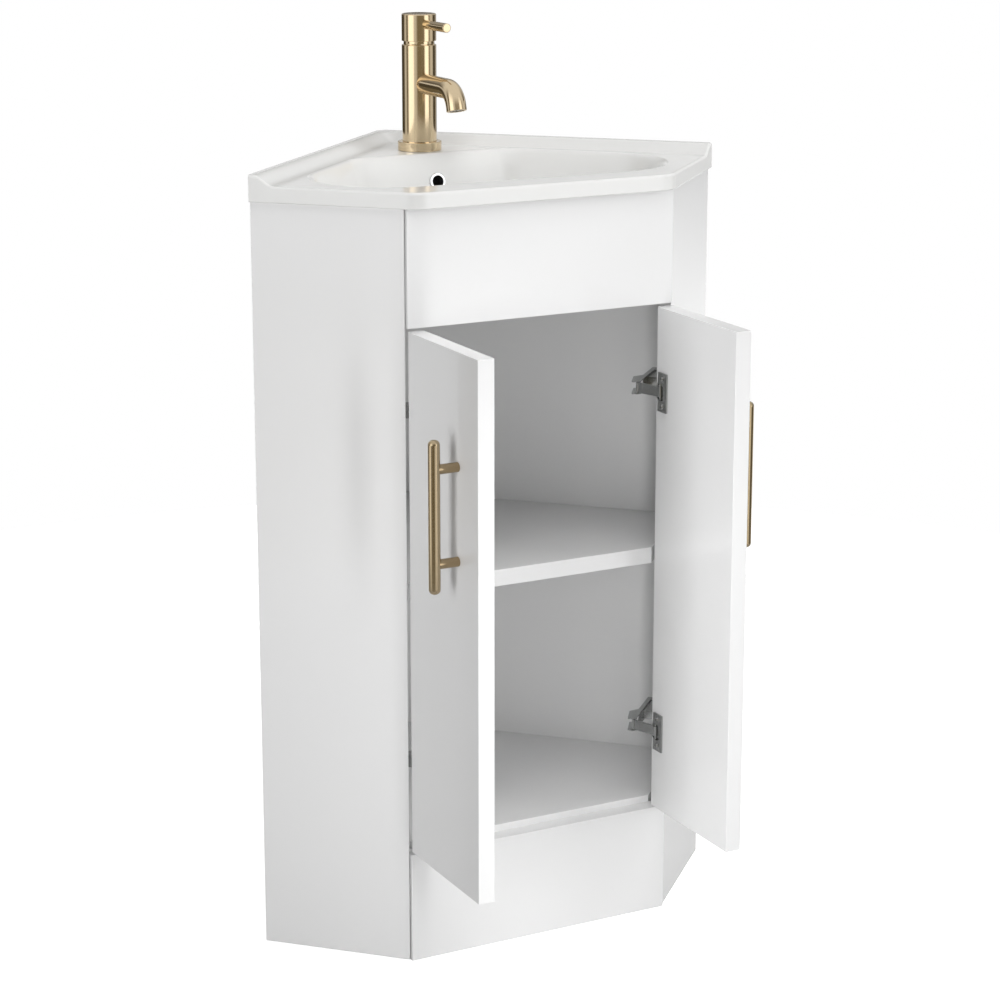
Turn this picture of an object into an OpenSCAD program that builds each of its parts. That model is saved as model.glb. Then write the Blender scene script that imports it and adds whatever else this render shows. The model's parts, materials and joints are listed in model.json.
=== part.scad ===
// Corner vanity unit: a five-sided cabinet that stands in the corner of a room, with two doors,
// a ceramic corner basin on top, a single-lever basin tap and a push-button basin waste.
// Millimetres. Origin: the corner of the room at floor level. +Z is up, +X is to the right seen
// from the front, and +Y points into the corner. The doors are drawn fully open.

/* [Cabinet] */
// Length of the cabinet along each wall
wall_len = 385; // [360:1:400]
// Width of each side panel, square to its wall
side_w = 165; // [150:1:175]
// Height of the cabinet, up to the underside of the basin
cab_h = 804; // [780:1:860]
// Thickness of the sides, doors, shelf and front boards
board_t = 18; // [15:0.5:19]
// Thickness of the two back panels
back_t = 15; // [12:0.5:18]
// How far the front boards stand in front of the side panels' tips
front_proud = 3.7; // [2:0.1:8]
// Gap between a front board and the side panel beside it
edge_gap = 1; // [0.8:0.1:2.5]
// Height of the plinth
plinth_h = 119.5; // [90:0.5:140]
// Height of the cabinet floor above the top of the plinth
floor_rise = 7.5; // [5:0.5:12]
// Height of the fixed fascia above the doors
fascia_h = 121; // [100:1:140]
// Height of the shelf's underside above the floor
shelf_h = 393; // [320:1:460]
// Distance of the shelf's front edge behind the cabinet's front
shelf_setback = 3; // [2:0.5:20]
// Gap round the shelf
shelf_gap = 0.8; // [0.5:0.1:2]
// Diameter of a shelf pin
shelf_pin_d = 5; // [4:0.5:6]
// Length of a shelf pin that stands out of its panel
shelf_pin_out = 9; // [7:0.5:12]
// Length of a shelf pin inside its panel
shelf_pin_in = 8; // [6:0.5:10]
// Height of the stretcher behind the fascia
rail_h = 60; // [40:1:70]
// Distance of the stretcher below the top of the cabinet
rail_drop = 46; // [44:1:55]
// Length of a corner block's face
block_w = 27; // [20:1:32]
// Diameter of a wall-fixing hole
wall_hole_d = 6; // [5:0.5:8]
// Distance of a wall-fixing hole from the room's corner, along the wall
wall_hole_at = 262; // [240:1:280]
// Distance of the wall-fixing holes below the top of the cabinet
wall_hole_drop = 124; // [118:1:140]

/* [Doors] */
// Gap between the fascia and the doors
door_gap_top = 2.4; // [1.5:0.1:4]
// Gap between the doors and the plinth
door_gap_bottom = 4.2; // [2:0.1:6]
// Gap between the two closed doors
meeting_gap = 3; // [2:0.1:4]
// How far the closed doors stand in front of the fascia
door_proud = 1; // [0.5:0.1:3]

/* [Handles] */
// Diameter of the handle bar
bar_d = 12; // [10:0.5:14]
// Length of the handle bar
bar_len = 156; // [130:1:200]
// Diameter of a handle post
post_d = 10; // [7:0.5:11]
// Distance between the two posts
post_span = 96; // [64:1:128]
// Distance of the bar's axis from the door
bar_reach = 26; // [22:0.5:35]
// Height of the handle's centre
handle_z = 518; // [450:1:560]
// Distance of the handle from the door's free edge
handle_inset = 43; // [30:1:60]
// Diameter of the threaded insert that holds a post
insert_d = 8; // [6:0.5:9]
// Depth of the threaded insert in the door
insert_depth = 12; // [8:0.5:13]
// Diameter of the stud on a post
post_stud_d = 4; // [3:0.5:5]

/* [Hinges] */
// Height of the lower hinges
hinge_low = 212; // [190:1:250]
// Height of the upper hinges
hinge_high = 590.5; // [560:0.5:610]
// Outer diameter of the hinge cup
cup_d = 20; // [19:0.5:21]
// Depth of the hinge cup in the door
cup_depth = 11; // [9:0.5:12]
// Distance of the cup's centre from the door's hinge edge
cup_set = 11.7; // [11.5:0.1:12.5]
// Wall of the cup
cup_wall = 0.8; // [0.6:0.1:1]
// Width of the cup's flange
ear_w = 17; // [14:0.5:20]
// Height of the cup's flange
ear_h = 42; // [38:1:48]
// Distance between the flange's screws
ear_span = 30; // [28:0.5:34]
// Thickness of the flange
ear_t = 2; // [1.2:0.1:2.4]
// Distance of the link's pin from the door's hinge edge
link_pin_set = 8; // [7.6:0.1:8.6]
// Diameter of the link's pin
link_pin_d = 3; // [2.4:0.1:3.2]
// Height of the hinge link
link_h = 11; // [10:0.5:12]
// Thickness of the hinge link
link_t = 2; // [1.6:0.1:2.2]
// Length of the hinge link from its pin to the roller on its tail
link_len = 31; // [30:0.5:33]
// Thickness of the hinge arm's metal
arm_t = 1.2; // [1:0.1:2]
// Clearance between the link and the arm's two cheeks
yoke_gap = 0.35; // [0.3:0.05:0.5]
// Distance of the arm's web from the side panel
arm_off = 12; // [11:0.5:13]
// Thickness of the mounting plate
plate_t = 3; // [2:0.5:4]

/* [Basin] */
// Length of the basin along each wall
basin_wall = 388.8; // [380:0.2:400]
// Distance of the basin's front edge from the room's corner
basin_front = 402.6; // [396:0.2:412]
// Thickness of the basin's rim
rim_t = 17; // [14:0.5:22]
// Radius of the basin's front corners in plan
corner_r = 31; // [20:1:45]
// Radius of the rim's upper edge
rim_r = 3; // [1.5:0.1:4]
// Width of the clipped back corner
back_clip = 12; // [6:1:20]
// Height of the upstand above the rim
upstand_h = 11; // [8:0.5:16]
// Thickness of the upstand at its top
upstand_t = 6; // [4:0.5:8]
// Width of the upstand's foot
upstand_foot = 28; // [24:0.5:29]
// Distance of the upstand's corner facet from the room's corner
facet_y = 15; // [10:1:20]
// Depth of the bowl
bowl_depth = 110; // [100:1:120]
// Radius of the bowl's two ends in plan
end_r = 80; // [76:1:81]
// Distance of an end's centre from the middle
end_x = 120; // [112:1:121]
// Distance of an end's centre from the room's corner
end_y = 278; // [276:1:281]
// Distance of the bowl's back edge from the room's corner
bowl_back = 140; // [138:1:146]
// Radius of the bowl's back corners in plan
bowl_back_r = 40; // [36:1:50]
// Thickness of the bowl's wall
bowl_wall = 9; // [8:0.5:10]
// Thickness of the bowl's floor at the drain
bowl_floor = 12; // [11:0.5:14]
// Distance of the drain from the room's corner
drain_y = 250; // [246:1:254]
// Diameter of the drain hole
drain_d = 46; // [44:0.5:48]
// Depth of the overflow's centre below the rim
overflow_drop = 30; // [26:1:34]
// Diameter of the overflow hole
overflow_d = 16; // [14:0.5:18]
// Width of the overflow duct inside
duct_w = 22; // [18:1:26]
// Wall of the overflow duct
duct_wall = 4; // [3:0.5:5]

/* [Tap] */
// Distance of the tap's axis from the room's corner
tap_y = 105; // [100:1:107]
// Diameter of the tap hole in the basin
tap_hole_d = 35; // [32:0.5:36]
// Diameter of the tap's body
tap_d = 38; // [37:0.5:42]
// Diameter of the ring round the body's foot
foot_d = 48.5; // [46:0.5:54]
// Height of the ring round the body's foot
foot_h = 10; // [6:0.5:14]
// Height of the groove between the body and the cap, above the rim
groove_z = 118.3; // [105:0.1:130]
// Width of that groove
groove_w = 4.4; // [4.2:0.1:5]
// Height of the cap above the groove
cap_h = 31.7; // [28:0.1:36]
// Diameter of the lever pin
lever_d = 10; // [7:0.5:11]
// Length of the lever pin outside the cap
lever_out = 50; // [40:1:65]
// Height of the lever pin above the groove
lever_z = 20.7; // [19:0.1:22]
// Diameter of the spout
spout_d = 22; // [20:0.5:24]
// Wall of the spout
spout_wall = 2.5; // [1.5:0.1:3]
// Height of the spout's axis above the rim
spout_z = 74; // [66:0.5:80]
// Distance of the spout's bend from the tap's axis
spout_run = 69; // [60:1:80]
// Radius of the spout's bend
bend_r = 22; // [18:0.5:26]
// Angle through which the spout bends
bend_angle = 75; // [60:1:85]
// Length of the spout after its bend
spout_tip = 6; // [4:0.5:12]
// Diameter of the cartridge
cartridge_d = 24; // [22:0.5:26]
// Length of the cartridge inside the body
cartridge_len = 26; // [20:1:30]
// Diameter of the lever's cross pin
cross_d = 4; // [3:0.5:4.5]
// Diameter of a water inlet
inlet_d = 9; // [8:0.5:9.5]
// Depth of a water inlet
inlet_depth = 14; // [10:0.5:16]
// Diameter of the fixing stud under the tap
stud_d = 8; // [6:0.5:8]
// Length of the stud below the rim's top
stud_len = 46; // [40:1:60]

/* [Waste] */
// Diameter of the waste's thread
waste_d = 41.9; // [40:0.1:42.5]
// Bore of the waste
waste_bore = 35; // [32:0.5:36]
// Diameter of the waste's flange
waste_flange_d = 62; // [56:1:63]
// Thickness of the waste's flange
waste_flange_t = 2.5; // [2:0.1:3]
// Length of the thread's free end, below the back nut
waste_tail = 22; // [18:1:34]
// Diameter of the plug
plug_d = 44; // [40:1:50]
// Diameter of the plug's stem
plug_stem_d = 8; // [6:0.5:9]

/* [Hidden] */
$fn = 64;
root2 = sqrt(2);
cut = 1;
fit = 0.05;

// Cabinet plan: each side panel's outer face lies on the line |x| + |y| = 2 * wall_x, and each
// wall on the line |x| = |y|. Lengths below are distances from the room's corner.
wall_x = wall_len / root2;
tip_x = wall_x - side_w / root2;
tip_y = 2 * wall_x - tip_x;
side_in = 2 * wall_x - board_t * root2;
back_in = back_t * root2;
board_y = tip_y + front_proud;
carcass_y = board_y - board_t;
front_w = tip_x - edge_gap;
floor_top = plinth_h + floor_rise;
fascia_z = cab_h - fascia_h;
fascia_top_gap = 0.4;
shelf_pin_z = shelf_h - shelf_pin_d / 2 - fit;
shelf_pin_back = 150;

// The side panel's tip, along the panel from the line through the room's corner
arm_s = (2 * tip_x - side_in) / root2;
shelf_pin_side = arm_s + 32;

// Doors, in their closed place: the pivot is the outer corner of the hinge edge
door_y = board_y + door_proud;
door_in = door_y - board_t;
door_top = fascia_z - door_gap_top;
door_bottom = plinth_h + door_gap_bottom;
handle_x = meeting_gap / 2 + handle_inset;
bar_hollow = bar_d / 2 - 3.2;
edge_round = 0.8;

// Hinges
cup_r = cup_d / 2;
cup_x = front_w - cup_set;
cup_rim = cup_r + 0.5;
ear_x = front_w - 14;
ear_screw_d = 3;
ear_head_d = 5.6;
pin_x = front_w - link_pin_set;
pin_open = [front_w - board_t, -door_y - link_pin_set];
link_dir = 110;
tail = pin_open + link_len * [cos(link_dir), sin(link_dir)];
tail_d = 4;
link_half = link_h / 2;
window_half = link_half + 0.8;
lip_notch = 1;
eye_r = link_pin_d / 2 + 1.1;
cheek_z = link_half + yoke_gap;
arm_reach = 13;
arm_tail = 46;
plate_at = 22;
plate_half = 22;
plate_span = 32;
rail_half = 5;
plate_screw_d = 3;

// Basin
basin_z = cab_h;
rim_z = basin_z + rim_t;
wall_b = basin_wall / root2;
front_x = 2 * wall_b - basin_front;
corner_x = front_x - corner_r * tan(22.5);
back_y = bowl_back + bowl_back_r;
back_x = back_y + end_x - end_y + (end_r - bowl_back_r) * root2;
drain_z = rim_z - bowl_depth;
// The upstand's section: distance from the wall, height above the rim
upstand_profile = [
    [-6, -6], [-6, upstand_h], [upstand_t - 1, upstand_h],
    [upstand_t + 1, upstand_h - 0.4], [upstand_t + 3.3, upstand_h - 1.9],
    [(upstand_t + upstand_foot) / 2, upstand_h * 0.47],
    [upstand_foot - 5, upstand_h * 0.16], [upstand_foot, 0], [upstand_foot, -6]
];
// The bowl from its floor to its rim: share of the depth, inset of the outline, scale about the drain
bowl_steps = [
    [1, 31, 0.42], [0.977, 31, 0.62], [0.932, 31, 0.82], [0.864, 31, 1], [0.72, 21, 1],
    [0.51, 14, 1], [0.155, 6.5, 1], [0.08, 3.5, 1], [0.027, 0.5, 1], [0.007, -1.8, 1], [0, -4, 1]
];
overflow_y = bowl_back + bowl_steps[6][1]
    + (bowl_steps[5][1] - bowl_steps[6][1]) * (overflow_drop / bowl_depth - bowl_steps[6][0])
    / (bowl_steps[5][0] - bowl_steps[6][0]);
overflow_tilt = atan2(bowl_steps[5][1] - bowl_steps[6][1],
    (bowl_steps[5][0] - bowl_steps[6][0]) * bowl_depth);
duct_slope = [0.8, -0.6];
duct_skin = 7.5;
duct_gap = 7.5;

// Tap
tap_r = tap_d / 2;
pivot_z = rim_z + groove_z;
cavity_r = cartridge_d / 2;
groove_rise = groove_w / 2 / tap_r;
gasket_t = 1.4;
tongue_half = 4;
lug_gap = 0.3;
lug_out = 9;
lug_half = 5;
stud_y = tap_y + 8;
inlet_x = 8.5;
inlet_y = tap_y - 4;
spout_bore = spout_d / 2 - spout_wall;
spout_sides = 36;
bend_steps = 8;
horseshoe_r = 22;
horseshoe_t = 2.5;
nut_h = 6.5;

// Waste
waste_r = waste_d / 2;
waste_seal_t = 3.5;
waste_washer_t = 2;
waste_nut_h = 10;
waste_under = drain_z - bowl_floor;
relief_h = 2;
waste_low = -bowl_floor - waste_seal_t - waste_washer_t - waste_nut_h - relief_h - waste_tail;
plug_gap = 0.3;
plug_t = 5;
guide_z = drain_z - 24;
guide_h = 8;

white = "white";
ceramic = "whitesmoke";
brass = "#c9b184";
nickel = "#8b8d8c";

// ---- Helpers -----------------------------------------------------------------------------

// Draws its children once as they are and once mirrored to the left side
module right_and_left() {
    children();
    mirror([1, 0, 0]) children();
}

module board(points, z0, z1) {
    translate([0, 0, z0]) linear_extrude(z1 - z0) polygon(points);
}

// Turns a right-hand piece drawn on the closed door to the open door's place
module on_open_door() {
    translate([front_w, -door_y, 0]) rotate(90) translate([-front_w, door_y, 0]) children();
}

// The same piece at both hinges of a door
module at_hinges() {
    for (z = [hinge_low, hinge_high]) translate([0, 0, z]) children();
}

// A frame on the right side panel's inner face: x runs along the panel towards the wall from
// the line through the room's corner, y stands off the panel into the cabinet
module on_side_panel() {
    rotate(45) translate([0, -side_in / root2, 0]) children();
}

// A point of the plan in that frame
function on_panel(p) = [(p.x + p.y) / root2, (p.y - p.x + side_in) / root2];

// A solid skinned over rings of as many points each, anticlockwise seen from the last ring
module skin(rings) {
    n = len(rings[0]);
    last = len(rings) - 1;
    points = [for (ring = rings) each ring];
    sides = [for (i = [0:last - 1]) for (j = [0:n - 1]) let (
        a = i * n + j, b = i * n + (j + 1) % n, c = b + n, d = a + n
    ) each [[a, d, c], [a, c, b]]];
    first_face = [for (j = [0:n - 1]) j];
    last_face = [for (j = [0:n - 1]) last * n + n - 1 - j];
    polyhedron(points = points, faces = concat([first_face], sides, [last_face]), convexity = 6);
}

// A solid of stacked outlines, each [points, z], from the lowest to the highest
module loft(rings) {
    skin([for (ring = rings) [for (p = ring[0]) [p.x, p.y, ring[1]]]]);
}

function arc(centre, r, from, to, steps) =
    [for (i = [0:steps]) centre + r * [cos(from + (to - from) * i / steps),
                                       sin(from + (to - from) * i / steps)]];

// ---- Cabinet -----------------------------------------------------------------------------

module side_panel_plan() {
    inner_y = side_in - tip_x;
    shift = board_t / root2;
    polygon([
        [wall_x, -wall_x],
        [tip_x, -tip_y],
        [tip_x, -inner_y],
        [wall_x - shift, -wall_x + shift]
    ]);
}

module side_panel() {
    color(white) difference() {
        linear_extrude(cab_h) side_panel_plan();
        on_side_panel() {
            translate([shelf_pin_side, 0, shelf_pin_z])
                rotate([90, 0, 0]) cylinder(h = shelf_pin_in, d = shelf_pin_d + 2 * fit);
            at_hinges() for (z = [-plate_span / 2, plate_span / 2])
                translate([arm_s + plate_at, 0, z])
                    rotate([90, 0, 0]) cylinder(h = board_t - 5, d = plate_screw_d + 2 * fit, $fn = 24);
        }
    }
}

module back_panel(near_corner) {
    end = wall_len - board_t;
    color(white) rotate(-45) difference() {
        translate([near_corner, -back_t, 0]) cube([end - near_corner, back_t, cab_h]);
        translate([wall_hole_at, cut, cab_h - wall_hole_drop])
            rotate([90, 0, 0]) cylinder(h = back_t + 2 * cut, d = wall_hole_d);
        translate([shelf_pin_back, -back_t + shelf_pin_in, shelf_pin_z])
            rotate([90, 0, 0]) cylinder(h = shelf_pin_in + cut, d = shelf_pin_d + 2 * fit);
    }
}

// The inside of the cabinet in plan, with a gap round it and its front edge at y = -front
function inside(gap, front) =
    let (
        side = side_in - gap * root2,
        back = back_in + gap * root2,
        mid = (side + back) / 2,
        reach = (side - back) / 2
    )
    [[-(side - front), -front], [side - front, -front], [reach, -mid], [0, -back], [-reach, -mid]];

module floor_panel() {
    color(white) board(inside(0, carcass_y), floor_top - board_t, floor_top);
}

module shelf() {
    color(white) board(inside(shelf_gap, carcass_y - shelf_setback), shelf_h, shelf_h + board_t);
}

module shelf_pin() {
    rotate([90, 0, 0]) translate([0, 0, -shelf_pin_out])
        cylinder(h = shelf_pin_out + shelf_pin_in, d = shelf_pin_d);
}

module shelf_pins() {
    color(nickel) right_and_left() {
        on_side_panel() translate([shelf_pin_side, 0, shelf_pin_z]) shelf_pin();
        rotate(-45) translate([shelf_pin_back, -back_t, shelf_pin_z]) mirror([0, 1, 0]) shelf_pin();
    }
}

module front_stretcher() {
    top = cab_h - rail_drop;
    near = side_in - carcass_y;
    color(white) board([
        [-near, -carcass_y],
        [near, -carcass_y],
        [near + board_t, -carcass_y + board_t],
        [-near - board_t, -carcass_y + board_t]
    ], top - rail_h, top);
}

// Triangular blocks that tie the fascia and the plinth to the side panels
module corner_blocks() {
    near = side_in - carcass_y;
    leg = block_w / root2;
    block = [[near - block_w, -carcass_y], [near, -carcass_y], [near + leg, -carcass_y + leg]];
    block_top = cab_h - 4;
    block_low = 14;
    color(white) right_and_left() {
        board(block, cab_h - rail_drop + 6, block_top);
        board(block, block_low, floor_top - board_t);
    }
}

module front_board(z0, z1) {
    color(white) translate([-front_w, -board_y, z0]) cube([2 * front_w, board_t, z1 - z0]);
}

module fascia() {
    front_board(fascia_z, cab_h - fascia_top_gap);
}

module plinth() {
    front_board(0, plinth_h);
}

// ---- Doors -------------------------------------------------------------------------------

module door() {
    width = front_w - meeting_gap / 2;
    color(white) on_open_door() difference() {
        translate([meeting_gap / 2, -door_y, door_bottom])
            cube([width, board_t, door_top - door_bottom]);
        at_hinges() {
            translate([cup_x, -door_in + cut, 0])
                rotate([90, 0, 0]) cylinder(h = cup_depth + cut, r = cup_r + fit);
            for (z = [-ear_span / 2, ear_span / 2])
                translate([ear_x, -door_in + cut, z])
                    rotate([90, 0, 0]) cylinder(h = 11 + cut, d = ear_screw_d + 2 * fit, $fn = 24);
        }
        for (z = [-post_span / 2, post_span / 2])
            translate([handle_x, -door_y - cut, handle_z + z])
                rotate([-90, 0, 0]) cylinder(h = insert_depth + cut, d = insert_d + 2 * fit);
    }
}

// Handle, drawn on the closed right door
module handle_bar() {
    bar_y = -door_y - bar_reach;
    dome = bar_d * 0.4;
    half = bar_len / 2;
    color(brass) on_open_door() difference() {
        translate([handle_x, bar_y, handle_z]) rotate_extrude() polygon(concat(
            [[0, -half]],
            arc([bar_d / 2 - dome, -half + dome], dome, -90, 0, 6),
            arc([bar_d / 2 - dome, half - dome], dome, 0, 90, 6),
            [[0, half]]
        ));
        for (z = [-post_span / 2, post_span / 2])
            translate([handle_x, bar_y + bar_hollow, handle_z + z])
                rotate([-90, 0, 0]) cylinder(h = bar_d, d = post_d + 2 * fit);
    }
}

module handle_posts() {
    stud_len = insert_depth - 2;
    color(brass) on_open_door() for (z = [-post_span / 2, post_span / 2])
        translate([handle_x, -door_y, handle_z + z]) rotate([90, 0, 0]) {
            cylinder(h = bar_reach - bar_hollow, d = post_d);
            translate([0, 0, -stud_len]) cylinder(h = stud_len, d = post_stud_d, $fn = 24);
        }
}

module handle_inserts() {
    color(nickel) on_open_door() for (z = [-post_span / 2, post_span / 2])
        translate([handle_x, -door_y, handle_z + z]) rotate([-90, 0, 0]) difference() {
            cylinder(h = insert_depth, d = insert_d);
            translate([0, 0, -cut])
                cylinder(h = insert_depth - 1 + cut, d = post_stud_d + 2 * fit, $fn = 24);
        }
}

// ---- Hinges ------------------------------------------------------------------------------

// Cup and flange, drawn on the closed right door: the cup sinks into the door's inner face
module hinge_cups() {
    color(nickel) on_open_door() at_hinges() translate([0, -door_in, 0]) difference() {
        union() {
            translate([cup_x, 0, 0]) rotate([90, 0, 0]) cylinder(h = cup_depth, r = cup_r);
            translate([cup_x, ear_t, 0]) rotate([90, 0, 0]) cylinder(h = ear_t, r = cup_rim);
            translate([ear_x - ear_w / 2, 0, -ear_h / 2]) cube([ear_w, ear_t, ear_h]);
        }
        translate([cup_x, ear_t + cut, 0])
            rotate([90, 0, 0]) cylinder(h = cup_depth - cup_wall + ear_t + cut, r = cup_r - cup_wall);
        // The window in the flange through which the link swings, and a notch in the cup's lip
        translate([front_w - 19.5, 0, -window_half]) cube([20, ear_t + cut, 2 * window_half]);
        translate([pin_x, -lip_notch, -window_half]) cube([link_pin_set, 2 * lip_notch, 2 * window_half]);
        translate([pin_x, 0, -cup_rim]) cylinder(h = 2 * cup_rim, d = link_pin_d + 2 * fit, $fn = 32);
        for (z = [-ear_span / 2, ear_span / 2])
            translate([ear_x, ear_t + cut, z])
                rotate([90, 0, 0]) cylinder(h = ear_t + 2 * cut, d = ear_screw_d + 2 * fit, $fn = 24);
    }
}

module hinge_cup_screws() {
    head_h = 1.6;
    shank = 10;
    color(nickel) on_open_door() at_hinges() for (z = [-ear_span / 2, ear_span / 2])
        translate([ear_x, -door_in + ear_t + head_h, z]) rotate([90, 0, 0]) difference() {
            union() {
                cylinder(h = head_h, d1 = ear_head_d - 1.4, d2 = ear_head_d);
                cylinder(h = head_h + ear_t + shank, d = ear_screw_d, $fn = 24);
            }
            for (a = [0, 90]) rotate(a) translate([-1.5, -0.35, -cut]) cube([3, 0.7, cut + 0.8]);
        }
}

module hinge_pins() {
    half = sqrt(pow(cup_r, 2) - pow(cup_set - link_pin_set + link_pin_d / 2, 2)) - 0.1;
    color(nickel) on_open_door() at_hinges()
        translate([pin_x, -door_in, -half]) cylinder(h = 2 * half, d = link_pin_d, $fn = 32);
}

// Link from the cup's pin into the arm, drawn where it stands when the door is open
module hinge_links() {
    color(nickel) at_hinges() translate([pin_open.x, pin_open.y, -link_half]) rotate(link_dir)
        difference() {
            union() {
                cylinder(h = link_h, r = eye_r, $fn = 40);
                translate([0, -link_t / 2, 0]) cube([link_len, link_t, link_h]);
                translate([link_len, 0, 0]) cylinder(h = link_h, d = tail_d, $fn = 32);
            }
            translate([0, 0, -cut])
                cylinder(h = link_h + 2 * cut, d = link_pin_d + 2 * fit, $fn = 32);
        }
}

// Arm: two cheeks that hold the link's tail between them, and a web on the mounting plate
module hinge_arms() {
    web_s = arm_s - 12;
    end_s = arm_s + arm_tail;
    outer = arm_off + arm_reach;
    front = -carcass_y + 0.2;
    nose = [for (x = [3, -2.4]) on_panel([tail.x + x, front])];
    cheek = [
        [nose[0][0] + 6, arm_off],
        nose[0],
        nose[1],
        on_panel(tail + [-6, 3]),
        [arm_s - 6, outer],
        [arm_s + 4, arm_off + 5],
        [end_s, arm_off + 5],
        [end_s, arm_off]
    ];
    color(nickel) at_hinges() on_side_panel() difference() {
        union() {
            for (z = [-cheek_z - arm_t, cheek_z])
                translate([0, 0, z]) linear_extrude(arm_t) polygon(cheek);
            translate([web_s, arm_off, -cheek_z - arm_t])
                cube([end_s - web_s, arm_t, 2 * (cheek_z + arm_t)]);
        }
        translate([arm_s + plate_at, arm_off + arm_t + cut, 0])
            rotate([90, 0, 0]) cylinder(h = arm_t + 2 * cut, d = 4 + 2 * fit, $fn = 24);
    }
}

// Mounting plate: a wing plate screwed to the side panel, with a raised seat for the arm
module hinge_plates() {
    color(nickel) at_hinges() on_side_panel() translate([arm_s + plate_at, 0, 0]) difference() {
        union() {
            translate([-7, 0, -plate_half]) cube([14, plate_t, 2 * plate_half]);
            translate([-15, 0, -rail_half]) cube([36, arm_off, 2 * rail_half]);
        }
        for (z = [-plate_span / 2, plate_span / 2]) translate([0, plate_t + cut, z])
            rotate([90, 0, 0]) cylinder(h = plate_t + 2 * cut, d = plate_screw_d + 2 * fit, $fn = 24);
        translate([0, arm_off + cut, 0])
            rotate([90, 0, 0]) cylinder(h = 8 + cut, d = 4 + 2 * fit, $fn = 24);
    }
}

module panel_screw(head_d, head_h, shank_d, shank) {
    rotate([90, 0, 0]) difference() {
        union() {
            translate([0, 0, -head_h]) cylinder(h = head_h, d1 = head_d - 1.4, d2 = head_d);
            cylinder(h = shank, d = shank_d, $fn = 24);
        }
        for (a = [0, 90])
            rotate(a) translate([-1.5, -0.35, -head_h - cut]) cube([3, 0.7, cut + 0.8]);
    }
}

module plate_screws() {
    color(nickel) at_hinges() on_side_panel() for (z = [-plate_span / 2, plate_span / 2])
        translate([arm_s + plate_at, plate_t, z]) panel_screw(6, 1.8, plate_screw_d, plate_t + 12);
}

module arm_screws() {
    color(nickel) at_hinges() on_side_panel()
        translate([arm_s + plate_at, arm_off + arm_t, 0]) panel_screw(7, 2, 4, 7);
}

// ---- Basin -------------------------------------------------------------------------------

// The rim in plan, with its side and front edges moved in by inset
function rim_outline(inset) =
    let (
        w = wall_b - inset / root2,
        centre = [corner_x, -basin_front + corner_r],
        mirrored = [-corner_x, -basin_front + corner_r],
        clip = back_clip / 2
    )
    concat(
        arc(centre, corner_r - inset, -90, -45, 6),
        [[w, -w], [clip, -clip], [-clip, -clip], [-w, -w]],
        arc(mirrored, corner_r - inset, -135, -90, 6)
    );

// The rim's outline up to a rounded upper edge at height top
function rounded_top(top) = [
    [rim_outline(0), top - rim_r],
    [rim_outline(rim_r * 0.3), top - rim_r * 0.3],
    [rim_outline(rim_r), top]
];

// The bowl in plan: four arcs round fixed centres, moved in by inset and scaled about the drain
function bowl_outline(inset, size) =
    let (
        end = [end_x, -end_y],
        back = [back_x, -back_y],
        flip = [-1, 1],
        drain = [0, -drain_y],
        points = concat(
            arc(end, end_r - inset, -90, 45, 9),
            arc(back, bowl_back_r - inset, 45, 90, 3),
            arc([flip.x * back.x, back.y], bowl_back_r - inset, 90, 135, 3),
            arc([flip.x * end.x, end.y], end_r - inset, 135, 270, 9)
        )
    )
    [for (p = points) drain + size * (p - drain)];

// One length of upstand along the x axis, with the wall at y = 0 and the room at y < 0
module upstand_run(length) {
    translate([-length / 2, 0, rim_z]) rotate([90, 0, 90])
        linear_extrude(length) polygon([for (p = upstand_profile) [-p.x, p.y]]);
}

// The bowl's back wall at x = 0, from the drain up to the overflow's top, moved by shift
function back_line(shift) =
    let (edge = [for (s = bowl_steps) if (s[0] > 0.05)
        [-drain_y + s[2] * (drain_y - bowl_back - s[1]), rim_z - s[0] * bowl_depth]])
    [for (p = concat([[-drain_y, edge[0].y]], edge)) p + shift * duct_slope];

// A length of duct behind the bowl, between two shifts of its back wall, with lid points on top
module duct_run(inner, outer, width, lid = []) {
    near = back_line(inner);
    far = back_line(outer);
    rotate([90, 0, 90]) translate([0, 0, -width / 2]) linear_extrude(width)
        polygon(concat(near, lid, [for (i = [len(far) - 1:-1:0]) far[i]]));
}

module basin() {
    inner = [for (s = bowl_steps) [bowl_outline(s[1], s[2]), rim_z - s[0] * bowl_depth]];
    outer = [for (s = bowl_steps) if (s[0] > 0.05)
        [bowl_outline(s[1] - bowl_wall, s[2]), rim_z - s[0] * bowl_depth - bowl_floor * s[0] * s[0]]];
    mouth = [bowl_outline(bowl_steps[10][1], 1), rim_z + cut];
    duct_out = duct_skin + duct_gap + duct_wall;
    duct_back = max([for (p = back_line(duct_out)) p.x]);
    slab = concat([[rim_outline(1), basin_z], [rim_outline(0), basin_z + 1]], rounded_top(rim_z));
    ends = concat([[rim_outline(0), rim_z - rim_r - cut]], rounded_top(rim_z + upstand_h));
    color(ceramic) difference() {
        union() {
            loft(slab);
            intersection() {
                loft(ends);
                union() {
                    rotate(-45) upstand_run(3 * basin_wall);
                    rotate(45) upstand_run(3 * basin_wall);
                    translate([0, -facet_y, 0]) upstand_run(4 * facet_y);
                }
            }
            loft(outer);
            duct_run(duct_wall, duct_out, duct_w + 2 * duct_wall, [[duct_back, basin_z + cut]]);
        }
        loft(concat(inner, [mouth]));
        duct_run(duct_skin, duct_skin + duct_gap, duct_w);
        translate([0, -overflow_y, rim_z - overflow_drop])
            rotate([-90 - overflow_tilt, 0, 0]) translate([0, 0, -4])
                cylinder(h = duct_skin + 6, d = overflow_d);
        translate([0, -tap_y, basin_z - cut]) cylinder(h = rim_t + 2 * cut, d = tap_hole_d);
        translate([0, -drain_y, waste_under - cut])
            cylinder(h = bowl_floor + 3 * cut, d = drain_d);
    }
}

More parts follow.
